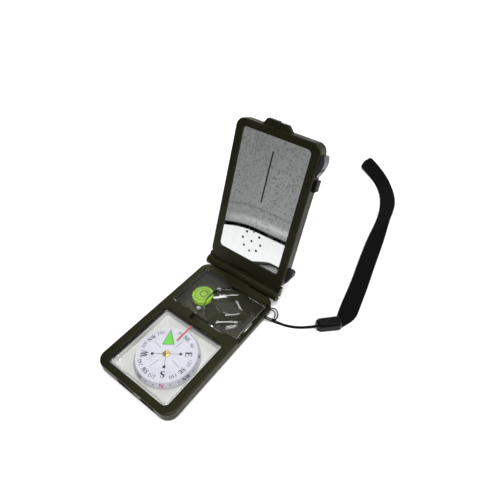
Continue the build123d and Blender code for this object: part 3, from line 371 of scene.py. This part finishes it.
def clear(name, tint, rough=0.0, ior=1.49, through=(1.0, 1.0, 1.0), weight=1.0, haze=0.35):
    """Clear moulded plastic with hairline scratches. Light from the lamps passes it."""
    n = Nodes(name)
    hairline = n.add("ShaderNodeMapping", {"Vector": n.place, "Scale": (1.0, 14.0, 1.0)}).outputs[0]
    scratches = n.noise(900, 5, hairline, 0.75)
    smear = n.noise(140, 3)
    shine = n.remap(n.math("ADD", smear, n.math("MULTIPLY", scratches, 0.4)), 0.6, 1.1, rough, rough + 0.02)
    normal = n.bump(scratches, haze * 0.12, 0.02 * MM)
    shader = n.shade(Base_Color=n.blend(smear, tint, tuple(c * 0.94 for c in tint)), Roughness=shine, IOR=ior,
                     Transmission_Weight=weight, Normal=normal)
    path = n.add("ShaderNodeLightPath")
    lamps = n.math("MAXIMUM", path.outputs["Is Shadow Ray"], path.outputs["Is Diffuse Ray"])
    open_air = n.add("ShaderNodeBsdfTransparent", {"Color": (*through, 1)})
    mix = n.add("ShaderNodeMixShader", {0: lamps, 1: shader.outputs[0], 2: open_air.outputs[0]})
    n.tree.links.new(mix.outputs[0], n.out.inputs["Surface"])
    return n.material


def metal(name, colour, rough, scale):
    """Turned or drawn metal: fine streaks, and tarnish in patches."""
    n = Nodes(name)
    rounded = n.rounded(0.15 * MM)
    tarnish = n.noise(500, 4)
    streaks = n.noise(scale, 2)
    dull = tuple(c * 0.62 for c in colour)
    n.shade(Base_Color=n.blend(n.remap(tarnish, 0.4, 0.7, 0.0, 1.0), colour, dull), Metallic=1.0,
            Roughness=n.remap(streaks, 0.3, 0.7, rough - 0.06, rough + 0.08),
            Normal=n.bump(streaks, 0.15, 0.02 * MM, rounded))
    return n.material


def printed(name, colour, rough=0.5):
    """Ink: uneven cover, on a faintly toothed ground."""
    n = Nodes(name)
    cover = n.noise(2600, 3)
    pale = tuple(min(1.0, c * 1.25 + 0.015) for c in colour)
    n.shade(Base_Color=n.blend(n.remap(cover, 0.45, 0.75, 0.0, 1.0), colour, pale),
            Roughness=n.remap(cover, 0.3, 0.7, rough - 0.06, rough + 0.06),
            Normal=n.bump(cover, 0.1, 0.01 * MM))
    return n.material


def card_stock(name, colour, shade):
    """Printed white card: faint mottling and paper tooth."""
    n = Nodes(name)
    tooth = n.noise(1500, 4, rough=0.7)
    mottle = n.noise(180, 3)
    n.shade(Base_Color=n.blend(n.remap(mottle, 0.35, 0.7, 0.0, 1.0), colour, shade),
            Roughness=n.remap(tooth, 0.3, 0.7, 0.42, 0.58),
            Normal=n.bump(tooth, 0.12, 0.02 * MM, n.rounded(0.3 * MM)))
    return n.material


def glow_painted_plastic(name, colour, glow, weight):
    """Fluorescent liquid or plastic, with a painted glow: a fixed emission of its own colour, however it is
    lit.
    """
    n = Nodes(name)
    swirl = n.noise(260, 2)
    rim = n.blend(n.remap(swirl, 0.3, 0.7, 0.0, 1.0), colour, tuple(c * 0.85 for c in colour))
    n.shade(Base_Color=rim, Roughness=n.remap(swirl, 0.3, 0.7, 0.10, 0.20),
            Transmission_Weight=weight, IOR=1.38,
            Emission_Color=colour, Emission_Strength=glow)
    return n.material


def mirror_material():
    """Silvered mirror: faint wipe marks."""
    n = Nodes("mirror_silver")
    wipes = n.add("ShaderNodeMapping", {"Vector": n.place, "Scale": (3.0, 1.0, 0.4)}).outputs[0]
    smear = n.noise(70, 5, wipes, 0.65)
    tint = n.blend(n.remap(smear, 0.4, 0.7, 0.0, 1.0), (0.70, 0.715, 0.71), (0.66, 0.675, 0.67))
    n.shade(Base_Color=tint, Metallic=1.0, Roughness=n.remap(smear, 0.45, 0.75, 0.015, 0.045),
            Normal=n.bump(n.noise(30, 1), 0.02, 0.02 * MM))
    return n.material


def woven(name, colour, light, warp, weft, depth):
    """Woven or braided thread, laid out along the piece: u runs across it, and v along it."""
    n = Nodes(name)
    uv = n.add("ShaderNodeTexCoord").outputs["UV"]
    split = n.add("ShaderNodeSeparateXYZ", {0: uv})
    across, along = split.outputs[0], split.outputs[1]
    ribs = n.math("SINE", n.math("MULTIPLY", across, warp))
    slant = n.math("ADD", n.math("MULTIPLY", along, weft), n.math("MULTIPLY", ribs, 1.1))
    threads = n.math("SINE", slant)
    fuzz = n.noise(2400, 4, rough=0.8)
    height = n.math("ADD", n.math("ADD", n.math("MULTIPLY", ribs, 0.5), n.math("MULTIPLY", threads, 0.5)),
                    n.math("MULTIPLY", fuzz, 0.9))
    # painted shade and highlight: the colour follows the weave's height, darker in the grooves between threads
    # and lighter on their crowns
    tone = n.remap(height, -0.4, 1.3, 0.0, 1.0)
    n.shade(Base_Color=n.blend(tone, colour, light), Roughness=n.remap(fuzz, 0.3, 0.7, 0.75, 0.95),
            Sheen_Weight=0.015, Sheen_Roughness=0.5, Specular_IOR_Level=0.06,
            Normal=n.bump(height, 0.7, depth))
    return n.material


def foam(name, colour):
    n = Nodes(name)
    cells = n.add("ShaderNodeTexVoronoi", {"Vector": n.place, "Scale": 1800.0}).outputs["Distance"]
    # painted shade: the middles of the cells, where the bump makes pits, are painted darker
    tone = n.remap(cells, 0.1, 0.6, 0.0, 1.0)
    n.shade(Base_Color=n.blend(tone, tuple(c * 0.5 for c in colour), colour),
            Roughness=n.remap(cells, 0.0, 0.6, 0.8, 0.95), Normal=n.bump(cells, 0.6, 0.1 * MM))
    return n.material


# each moulding's third colour is its edge colour: a painted highlight along the rims, mixed with wear
case = moulded("case_olive", (0.0046, 0.0047, 0.0018), (0.0068, 0.0068, 0.0027), 0.42, 0.35, 3200,
               (0.024, 0.023, 0.011), specular=0.24, reflected=(1.0, 0.98, 0.60))
black = moulded("black_satin", (0.002, 0.002, 0.0023), (0.004, 0.004, 0.0044), 0.30, 0.15, 2600,
                (0.008, 0.008, 0.009), 0.6 * MM, 0.03, 0.10)
mouthpiece = moulded("mouthpiece_grey", (0.011, 0.012, 0.013), (0.016, 0.017, 0.018), 0.34, 0.12, 2200,
                     (0.03, 0.03, 0.031), 0.5 * MM, 0.05, 0.3)
rubber = moulded("seal_rubber", (0.012, 0.012, 0.012), (0.02, 0.02, 0.02), 0.7, 0.4, 2500, (0.03, 0.03, 0.03))
off_white = moulded("liner_white", (0.50, 0.505, 0.48), (0.58, 0.58, 0.56), 0.38, 0.15, 1800,
                    (0.74, 0.74, 0.72))
window_clear = clear("window_acrylic", (0.97, 0.975, 0.965))
plate_clear = clear("magnifier_acrylic", (0.95, 0.96, 0.955))
gauge_clear = clear("gauge_acrylic", (0.97, 0.98, 0.98))
tube_glass = clear("tube_glass", (0.95, 0.97, 0.97), 0.01, 1.5, haze=0.1)
lamp_epoxy = clear("lamp_epoxy", (0.92, 0.93, 0.97), 0.05, 1.54)
smoke = clear("torch_smoke", (0.020, 0.018, 0.024), 0.16, 1.45, (0.3, 0.28, 0.36), 0.2)
spirit = clear("dyed_spirit", (0.75, 0.02, 0.02), 0.05, 1.36, (0.9, 0.3, 0.3))
steel = metal("bright_steel", (0.62, 0.62, 0.61), 0.24, 1500)
magnet = metal("magnet_steel", (0.20, 0.20, 0.21), 0.42, 1200)
brass = metal("turned_brass", (0.80, 0.60, 0.24), 0.24, 1500)
card_white = card_stock("card_white", (0.54, 0.54, 0.61), (0.49, 0.49, 0.56))
gauge_white = card_stock("gauge_white", (0.80, 0.80, 0.76), (0.74, 0.74, 0.69))
ink_black = printed("ink_black", (0.012, 0.012, 0.02))
ink_grey = printed("ink_grey", (0.022, 0.022, 0.035))
ink_green = printed("ink_green", (0.10, 0.46, 0.03), 0.4)
ink_crimson = printed("ink_crimson", (0.50, 0.03, 0.12))
ink_red = printed("ink_red", (0.42, 0.02, 0.022), 0.4)
line_black = printed("line_black", (0.006, 0.006, 0.007), 0.5)
# the level's green carries a painted glow, a fixed emission
level_fill = glow_painted_plastic("level_green_painted_glow", (0.40, 0.66, 0.03), 0.12, 0.45)
level_body = glow_painted_plastic("level_base_green_painted_glow", (0.36, 0.62, 0.03), 0.12, 0.0)
mirror_silver = mirror_material()
pad = foam("foam_black", (0.03, 0.03, 0.03))
webbing = woven("black_webbing", (0.0006, 0.0006, 0.0007), (0.0032, 0.0032, 0.0035), 2 * pi / (1.15 * MM),
                2 * pi / (0.95 * MM), 0.18 * MM)
braid = woven("black_braid", (0.0015, 0.0015, 0.0018), (0.007, 0.007, 0.0075), 6 * pi, 260.0, 0.08 * MM)

FINISHES = {
    case: ("base_case", "base_bottom_cover", "lid_frame", "lid_back", "battery_door"),
    steel: ("base_screws", "pivot_post", "well_screws", "hinge_pin", "lid_screws", "battery_cells",
            "battery_door_screw"),
    window_clear: ("capsule_window", "capsule_filler_plug"),
    plate_clear: ("magnifier_plate",),
    gauge_clear: ("level_vial", "hygrometer_window", "thermometer_window"),
    ink_red: ("lubber_line", "hygrometer_pointer"),
    rubber: ("capsule_gasket",),
    off_white: ("capsule_floor",),
    card_white: ("compass_card",),
    magnet: ("card_magnet",),
    brass: ("card_jewel_cap", "battery_contacts", "hygrometer_coil"),
    level_fill: ("level_liquid",),
    level_body: ("level_base",),
    mirror_silver: ("mirror",),
    line_black: ("sight_line",),
    pad: ("mirror_cushion",),
    smoke: ("torch_lens",),
    lamp_epoxy: ("torch_led",),
    black: ("torch_switch", "cord_slider"),
    mouthpiece: ("whistle",),
    gauge_white: ("hygrometer_dial", "thermometer_card"),
    tube_glass: ("thermometer_tube",),
    spirit: ("thermometer_spirit",),
}
for finish, nodes in FINISHES.items():
    for node in nodes:
        data = NODES[node].data
        data.materials.clear()
        data.materials.append(finish)
for piece, finish in ((strands[0], braid), (strands[1], braid), (hitch, braid), (wrist_strap, webbing)):
    piece.data.materials.append(finish)


# ---------------------------------------------------------------- printed marks
def bar(x0, y0, x1, y1, width):
    """A straight stroke as a four-sided patch."""
    d = Vector((x1 - x0, y1 - y0)).normalized() * width / 2
    return [(x0 - d.y, y0 + d.x), (x0 + d.y, y0 - d.x), (x1 + d.y, y1 - d.x), (x1 - d.y, y1 + d.x)]


def brush(points):
    """A curved stroke through (x, y, width) points, as patches."""
    fine = []
    last = len(points) - 1
    for i in range(last):
        p0, p1, p2, p3 = (points[max(i - 1, 0)], points[i], points[i + 1], points[min(i + 2, last)])
        for k in range(6):
            t = k / 6
            fine.append([
                0.5 * (2 * b + (c - a) * t
                       + (2 * a - 5 * b + 4 * c - d) * t**2
                       + (3 * b - a - 3 * c + d) * t**3)
                for a, b, c, d in zip(p0, p1, p2, p3)
            ])
    fine.append(list(points[last]))
    rails = []
    for i, (x, y, width) in enumerate(fine):
        before, after = fine[max(i - 1, 0)], fine[min(i + 1, len(fine) - 1)]
        d = Vector((after[0] - before[0], after[1] - before[1])).normalized() * width / 2
        rails.append(((x - d.y, y + d.x), (x + d.y, y - d.x)))
    return [[a[0], a[1], b[1], b[0]] for a, b in zip(rails, rails[1:])]


HAIR = 0.068  # stroke widths, in letter heights
SERIF = 0.081
FINE = 0.095
THIN = 0.108
BROAD = 0.216
STEM = 0.257
LETTERS = {  # patches in a box one unit high, and each letter's width
    "N": (0.95, [
        bar(0.15, 0, 0.15, 1, THIN),
        bar(0.82, 0, 0.82, 1, THIN),
        bar(0.13, 0.97, 0.80, 0.03, STEM),
        bar(0.02, 0.03, 0.30, 0.03, SERIF),
        bar(0.0, 0.97, 0.2, 0.97, SERIF),
        bar(0.68, 0.97, 0.95, 0.97, SERIF),
    ]),
    "E": (0.80, [
        bar(0.22, 0, 0.22, 1, STEM),
        bar(0.05, 0.96, 0.74, 0.96, THIN),
        bar(0.05, 0.04, 0.78, 0.04, THIN),
        bar(0.22, 0.52, 0.58, 0.52, FINE),
        bar(0.72, 0.99, 0.72, 0.76, SERIF),
        bar(0.76, 0.01, 0.76, 0.27, SERIF),
        bar(0.57, 0.40, 0.57, 0.64, HAIR),
    ]),
    "W": (1.25, [
        bar(0.14, 1, 0.40, 0.0, BROAD),
        bar(0.40, 0.0, 0.62, 0.85, FINE),
        bar(0.55, 1, 0.82, 0.0, BROAD),
        bar(0.82, 0.0, 1.10, 1, FINE),
        bar(0.0, 0.97, 0.30, 0.97, SERIF),
        bar(0.44, 0.97, 0.70, 0.97, SERIF),
        bar(0.98, 0.97, 1.22, 0.97, SERIF),
    ]),
    "S": (0.72, brush([
        (0.62, 0.74, HAIR),
        (0.58, 0.90, SERIF),
        (0.38, 0.97, THIN),
        (0.19, 0.90, 0.149),
        (0.13, 0.75, 0.189),
        (0.24, 0.60, 0.243),
        (0.46, 0.48, 0.27),
        (0.60, 0.34, 0.23),
        (0.60, 0.16, 0.176),
        (0.40, 0.03, 0.121),
        (0.20, 0.06, FINE),
        (0.09, 0.26, HAIR),
    ])),
}
LETTER_GAP = 0.06


def word(text, height):
    """Letters set side by side, centred on the origin, as patches."""
    patches, x = [], 0.0
    for letter in text:
        width, strokes = LETTERS[letter]
        patches += [[(px + x, py) for px, py in patch] for patch in strokes]
        x += width + LETTER_GAP
    middle = (x - LETTER_GAP) / 2
    return [[((px - middle) * height, (py - 0.5) * height) for px, py in patch] for patch in patches]


def figures(text, height):
    """Plain numerals centred on the origin, as patches."""
    curve = bpy.data.curves.new("figures", "FONT")
    curve.body = text
    curve.resolution_u = 3
    obj = bpy.data.objects.new("figures", curve)
    bpy.context.scene.collection.objects.link(obj)
    mesh = bpy.data.meshes.new_from_object(obj)
    points = [(v.co.x, v.co.y) for v in mesh.vertices]
    low = [min(p[k] for p in points) for k in (0, 1)]
    high = [max(p[k] for p in points) for k in (0, 1)]
    scale = height / (high[1] - low[1])
    points = [((x - (low[0] + high[0]) / 2) * scale, (y - (low[1] + high[1]) / 2) * scale) for x, y in points]
    patches = [[points[v] for v in face.vertices] for face in mesh.polygons]
    bpy.data.objects.remove(obj)
    bpy.data.curves.remove(curve)
    bpy.data.meshes.remove(mesh)
    return patches


def disc(x, y, radius, count=20):
    return [(x + radius * cos(2 * pi * k / count), y + radius * sin(2 * pi * k / count)) for k in range(count)]


def arc_band(radius, width, start, end, count):
    """A ring or part of one, as patches."""
    patches = []
    for k in range(count):
        a, b = (start + (end - start) * i / count for i in (k, k + 1))
        inner, outer = radius - width / 2, radius + width / 2
        patches.append([(inner * cos(a), inner * sin(a)), (outer * cos(a), outer * sin(a)),
                        (outer * cos(b), outer * sin(b)), (inner * cos(b), inner * sin(b))])
    return patches


def marks(name, groups, material, body, thickness=0.015):
    """One piece of ink from (patches, place) groups, as a closed skin, thickness mm thick.

    place(x, y) gives a point, in mm, and the way off the surface.
    """
    bm = bmesh.new()
    for patches, place in groups:
        for patch in patches:
            spots = [place(x, y) for x, y in patch]
            under = [bm.verts.new(p * MM) for p, _ in spots]
            over = [bm.verts.new((p + out * thickness) * MM) for p, out in spots]
            bm.faces.new(over)
            bm.faces.new(list(reversed(under)))
            for i in range(len(under)):
                k = (i + 1) % len(under)
                bm.faces.new((under[i], under[k], over[k], over[i]))
    bmesh.ops.recalc_face_normals(bm, faces=bm.faces)
    mesh = bpy.data.meshes.new(name)
    bm.to_mesh(mesh)
    bm.free()
    obj = link(name, mesh, material)
    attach(obj, body)
    return obj


# ---------------------------------------------------------------- compass card
CARD = Vector((0, -21.7))
CARD_TOP = 7.0
CARD_R = 19.2
SKIRT_R = 21.0
SKIRT_LOW = 2.9
NORTH = radians(125.5)  # where the card's north points at rest
UP = Vector((0, 0, 1))


def on_card(bearing, radius, lift=0.012):
    """Marks set at this bearing on the card, with their tops outward."""
    angle = NORTH - bearing
    outward = Vector((cos(angle), sin(angle)))
    sideways = Vector((sin(angle), -cos(angle)))

    def place(x, y):
        spot = CARD + outward * (radius + y) + sideways * x
        return Vector((spot.x, spot.y, CARD_TOP + lift)), UP

    return place


def on_skirt(bearing, low=0.5):
    """Marks set at this bearing on the card's sloping skirt, upright when seen from outside."""
    slope = Vector((CARD_R - SKIRT_R, CARD_TOP - SKIRT_LOW))
    length = slope.length

    def place(x, y):
        share = (y + low * length) / length
        radius = SKIRT_R + slope.x * share
        height = SKIRT_LOW + slope.y * share
        angle = NORTH - bearing + x / radius
        out = Vector((cos(angle) * slope.y, sin(angle) * slope.y, -slope.x)).normalized()
        spot = Vector((CARD.x + radius * cos(angle), CARD.y + radius * sin(angle), height))
        return spot + out * 0.012, out

    return place


QUARTER = pi / 2
LETTER_R = 13.8  # from the card's middle to the middles of its marks, in mm
PAIR_R = 15.9
FIGURE_R = 16.3
DOT_R = 8.9
single = [(word(letter, 4.2), on_card(k * QUARTER, LETTER_R)) for k, letter in ((1, "E"), (2, "S"), (3, "W"))]
paired = [(word(pair, 2.6), on_card(QUARTER * (k + 0.5), PAIR_R))
          for k, pair in enumerate(("NE", "SE", "SW", "NW"))]
marks("card_letters", single + paired, ink_black, "card")
marks("card_figures", [(figures(text, 2.3), on_card(QUARTER * (k + 0.5) / 2, FIGURE_R))
                       for k, text in enumerate(("30", "60", "120", "150", "210", "240", "300", "330"))],
      ink_grey, "card")
pointers = []
for k in (1, 2, 3):
    pointers.append(([bar(0, 2.4, 0, DOT_R, 0.28), disc(0, DOT_R, 1.0)],
                     on_card(k * QUARTER, 0)))
marks("card_pointers", pointers, ink_black, "card")
marks("card_rays", [([bar(0, 6.0, 0, 12.6, 0.26)], on_card(QUARTER * (k + 0.5), 0))
                    for k in range(4)], ink_grey, "card")
marks("card_north_outline", [([[(-4.0, 6.55), (4.0, 6.55), (0, 17.9)]], on_card(0, 0))], ink_black, "card")
marks("card_north_arrow", [([[(-3.55, 6.8), (3.55, 6.8), (0, 16.9)]], on_card(0, 0, 0.03))], ink_green, "card")
skirt_words = [(word(text, 2.5), on_skirt(pi + bearing * pi / 180))
               for bearing, text in ((45, "NE"), (90, "E"), (135, "SE"), (180, "S"), (225, "SW"), (270, "W"),
                                     (315, "NW"))]
skirt_dots = [([disc(0, 0, 0.42, 12)], on_skirt(radians(bearing)))
              for bearing in range(0, 360, 15) if bearing % 45]
marks("card_skirt_letters", skirt_words + skirt_dots, ink_black, "card")
marks("card_skirt_north", [(word("N", 3.0), on_skirt(pi))], ink_crimson, "card")


# ---------------------------------------------------------------- level
def ring(name, middle, radius, tube, flat, material, body):
    """A ring with an oval section, flat times as high as it is wide."""
    verts, faces = [], []
    around, section = 64, 10
    for i in range(around):
        a = 2 * pi * i / around
        for j in range(section):
            b = 2 * pi * j / section
            reach = radius + tube * cos(b)
            verts.append(Vector((middle[0] + reach * cos(a), middle[1] + reach * sin(a),
                                 middle[2] + tube * flat * sin(b))) * MM)
    for i in range(around):
        for j in range(section):
            a, b = i * section, (i + 1) % around * section
            k = (j + 1) % section
            faces.append((a + j, b + j, b + k, a + k))
    obj = mesh_object(name, verts, faces, material)
    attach(obj, body)
    return obj


# painted shade: a dark ring stands for the dark outline that the clear bubble shows
bubble_outline_shade = printed("bubble_rim_painted_shade", (0.05, 0.045, 0.004), 0.4)
circle_green = printed("level_circle", (0.02, 0.10, 0.006), 0.4)
BUBBLE = (-13.2, 27.8, 6.50)
BUBBLE_R = 2.6
LEVEL = (-13.5, 27.0, 6.46)
CIRCLE_R = 5.2
ring("level_bubble_rim", BUBBLE, BUBBLE_R, 0.38, 0.4, bubble_outline_shade, "base")
ring("level_circle", LEVEL, CIRCLE_R, 0.22, 0.4, circle_green, "base")

# ---------------------------------------------------------------- gauges on the lid's back
OPEN = radians(111)
HINGE = Vector((0, 54.5, 10.5))
ALONG = Vector((0, -cos(OPEN), sin(OPEN)))
OUT = Vector((0, sin(OPEN), cos(OPEN)))


def on_lid_back(x0, s0, depth):
    """Marks on a face of the lid that looks to its back, upright with the free end up."""

    def place(x, y):
        spot = HINGE + ALONG * (s0 + y) + OUT * depth
        return spot + Vector((x0 - x, 0, 0)), OUT

    return place


DIAL_FACE = 8.33
DIAL_S = 28.8
SCALE_R = 7.35
THERMO = (-11.0, 70.0)
hygro = on_lid_back(0, DIAL_S, DIAL_FACE)
ticks = []
for k in range(21):
    angle = radians(210 - 12 * k)
    inner = 6.5 if k % 2 else 6.0
    ticks.append(bar(inner * cos(angle), inner * sin(angle), 7.3 * cos(angle), 7.3 * sin(angle), 0.14))
labels = []
for k, text in enumerate(("0", "20", "40", "60", "80", "100")):
    angle = radians(210 - 48 * k)
    labels += [[(x + 4.7 * cos(angle), y + 4.7 * sin(angle)) for x, y in patch] for patch in figures(text, 1.3)]
marks("hygrometer_scale", [(ticks + labels + arc_band(SCALE_R, 0.14, radians(-30), radians(210), 48), hygro)],
      line_black, "lid")


def lid_depth(node):
    """How far a node of the lid reaches towards its back, in mm."""
    return max((v.co / MM - HINGE).dot(OUT) for v in NODES[node].data.vertices)


thermo = on_lid_back(*THERMO, lid_depth("thermometer_card") + 0.02)
ticks = []
for k in range(29):
    s = -17.5 + 1.25 * k
    reach = 2.9 if k % 4 == 0 else 2.2
    ticks.append(bar(1.3, s, reach, s, 0.12))
    ticks.append(bar(-1.3, s, -reach, s, 0.12))
marks("thermometer_scale", [(ticks, thermo)], line_black, "lid")


# ---------------------------------------------------------------- floor, a card painted into the mirror's reflection, and lights
def stage_material(name, colour, rough):
    n = Nodes(name)
    tone = n.noise(6, 2)
    n.shade(Base_Color=n.blend(tone, colour, tuple(c * 0.99 for c in colour)), Roughness=rough,
            Specular_IOR_Level=0.1)
    return n.material


floor = mesh_object("floor", [(-4, -4, 0), (4, -4, 0), (4, 4, 0), (-4, 4, 0)], [(0, 1, 2, 3)],
                    stage_material("floor_white", (0.93, 0.93, 0.93), 0.9), smooth=False)

WALL_FOOT = ((-150, 120), (-168, 0), (-181, -110), (-190, -212), (-199, -263), (-196, -300), (-178, -309),
             (-149, -315), (-131, -322), (-90, -338), (-20, -360), (120, -390), (320, -400))
WALL_Z = (0.0, 0.3)


def painted_reflection_material():
    """A glowing card in front of the mirror, seen only in the mirror, that paints its reflection: a dark band
    at its foot, a painted glow band over it, a faint dark line, a grey wash above, and beads with painted dark
    rims and painted bright cores.
    """
    n = Nodes("painted_reflection_grey")
    uv = n.add("ShaderNodeTexCoord").outputs["UV"]
    split = n.add("ShaderNodeSeparateXYZ", {0: uv})
    across, height = split.outputs[0], split.outputs[1]
    n.place = uv
    edge = n.remap(height, 0.0055, 0.0073, 0.0, 1.0)
    rise = n.math("SUBTRACT", height, n.remap(across, 0.38, 0.50, 0.0145, 0.018))
    wide = n.math("DIVIDE", rise, 0.0055)
    # painted glow: a soft bright band in the mirror's reflection
    painted_glow_band = n.math("EXPONENT", n.math("MULTIPLY", n.math("MULTIPLY", wide, wide), -1.0))
    glow = n.math("MULTIPLY", painted_glow_band, n.remap(across, 0.30, 0.46, 0.08, 0.32))
    line = n.math("SUBTRACT", height, n.remap(across, 0.30, 0.38, 0.034, 0.0385))
    thin = n.math("EXPONENT", n.math("MULTIPLY", n.math("ABSOLUTE", line), -900.0))
    wash = n.remap(height, 0.03, 0.17, 0.345, 0.26)
    wash = n.math("ADD", wash, n.remap(across, 0.36, 0.50, 0.0, 0.04))
    tone = n.math("ADD", n.math("MULTIPLY", n.noise(45, 4), 0.06), wash)
    level = n.math("SUBTRACT", n.math("ADD", tone, glow), n.math("MULTIPLY", thin, 0.17))
    stretched = n.add("ShaderNodeMapping", {"Vector": uv, "Scale": (1.15, 0.9, 1.0)}).outputs[0]
    beads = n.add("ShaderNodeTexVoronoi", {"Vector": stretched, "Scale": 250.0, "Randomness": 0.95})
    few = n.math("GREATER_THAN", n.add("ShaderNodeSeparateColor", {0: beads.outputs["Color"]}).outputs[0],
                 n.math("ADD", n.remap(across, 0.36, 0.52, 0.0, 0.55), n.remap(height, 0.12, 0.03, 0.0, 0.30)))
    away = beads.outputs["Distance"]
    # painted shade on each bead's rim, and a painted highlight in its middle
    rim = n.math("MULTIPLY", n.remap(away, 0.44, 0.34, 0.0, 1.0), few)
    bead_painted_highlight = n.math("MULTIPLY", n.remap(away, 0.24, 0.10, 0.0, 1.0), few)
    level = n.math("MULTIPLY", level, n.math("SUBTRACT", 1.0, n.math("MULTIPLY", rim, 0.50)))
    level = n.math("MULTIPLY", level, n.math("ADD", 1.0, n.math("MULTIPLY", bead_painted_highlight, 1.5)))
    level = n.math("MULTIPLY", level, edge)
    glow_shader = n.add("ShaderNodeEmission", {"Color": (0.985, 1.0, 0.985, 1), "Strength": level})
    n.tree.links.new(glow_shader.outputs[0], n.out.inputs["Surface"])
    return n.material


wall_line = spline_points([(x, y, 0) for x, y in WALL_FOOT])
wall_verts, wall_uvs, wall_faces, run = [], [], [], 0.0
for i, point in enumerate(wall_line):
    if i:
        run += (point - wall_line[i - 1]).length
    for z in WALL_Z:
        wall_verts.append((point.x, point.y, z))
        wall_uvs.append((run, z))
    if i:
        wall_faces.append((2 * i - 2, 2 * i, 2 * i + 1, 2 * i - 1))
wall = mesh_object("painted_reflection_card", wall_verts, wall_faces, painted_reflection_material(), uvs=wall_uvs)
# the card only paints the mirror's reflection: the camera, diffuse light, shadows and transmission don't see it
wall.visible_camera = False
wall.visible_diffuse = False
wall.visible_shadow = False
wall.visible_transmission = False


def area_light(name, spot, aim, size, power, colour=(1, 1, 1)):
    data = bpy.data.lights.new(name, "AREA")
    data.shape = "RECTANGLE"
    data.size, data.size_y = size
    data.energy = power
    data.color = colour
    obj = link(name, data)
    obj.location = spot
    obj.rotation_euler = (Vector(aim) - Vector(spot)).to_track_quat("-Z", "Y").to_euler()
    return obj


LENS_TOP = Vector((0.008, 0.0282, 0.010))


def strip_light(name, start, end, width, glow, reach=0.9):
    """A bright strip seen from the lens between two directions, each a unit vector."""
    near, far = Vector(start), Vector(end)
    middle = (near + far).normalized()
    run = far - near
    run -= middle * run.dot(middle)
    data = bpy.data.lights.new(name, "AREA")
    data.shape = "RECTANGLE"
    data.size, data.size_y = run.length * reach, width
    data.energy = glow * pi * data.size * width
    obj = link(name, data)
    along = run.normalized()
    turn = Matrix((along, middle.cross(along), middle)).transposed()
    obj.matrix_world = Matrix.Translation(LENS_TOP + middle * reach) @ turn.to_4x4()
    return obj


sun_data = bpy.data.lights.new("daylight", "SUN")
sun_data.energy = 3.3
sun_data.angle = radians(38)
sun = link("daylight", sun_data)
sun.rotation_euler = Vector((0.30, -0.25, 1.10)).to_track_quat("Z", "Y").to_euler()
area_light("softbox_right", (1.05, 0.25, 0.50), (0, 0.03, 0.05), (0.9, 0.7), 8)
area_light("softbox_back", (-0.50, 0.70, 0.85), (0, 0.03, 0), (0.75, 0.75), 0.6)
strip_light("strip_upper", (-0.695, 0.427, 0.579), (-0.347, 0.693, 0.632), 0.050, 16)
strip_light("strip_slant", (-0.452, 0.605, 0.656), (-0.177, 0.565, 0.806), 0.040, 13)
strip_light("strip_lower", (-0.380, 0.056, 0.923), (-0.051, 0.299, 0.953), 0.035, 11)

world = bpy.data.worlds.new("studio")
bpy.context.scene.world = world
world.use_nodes = True
world.node_tree.nodes["Background"].inputs["Color"].default_value = (1, 1, 1, 1)
seen = world.node_tree.nodes.new("ShaderNodeLightPath")
dome = world.node_tree.nodes.new("ShaderNodeMapRange")  # white behind the object, and dim as a light
world.node_tree.links.new(seen.outputs["Is Camera Ray"], dome.inputs["Value"])
dome.inputs["To Min"].default_value = 0.11
dome.inputs["To Max"].default_value = 1.0
world.node_tree.links.new(dome.outputs["Result"], world.node_tree.nodes["Background"].inputs["Strength"])
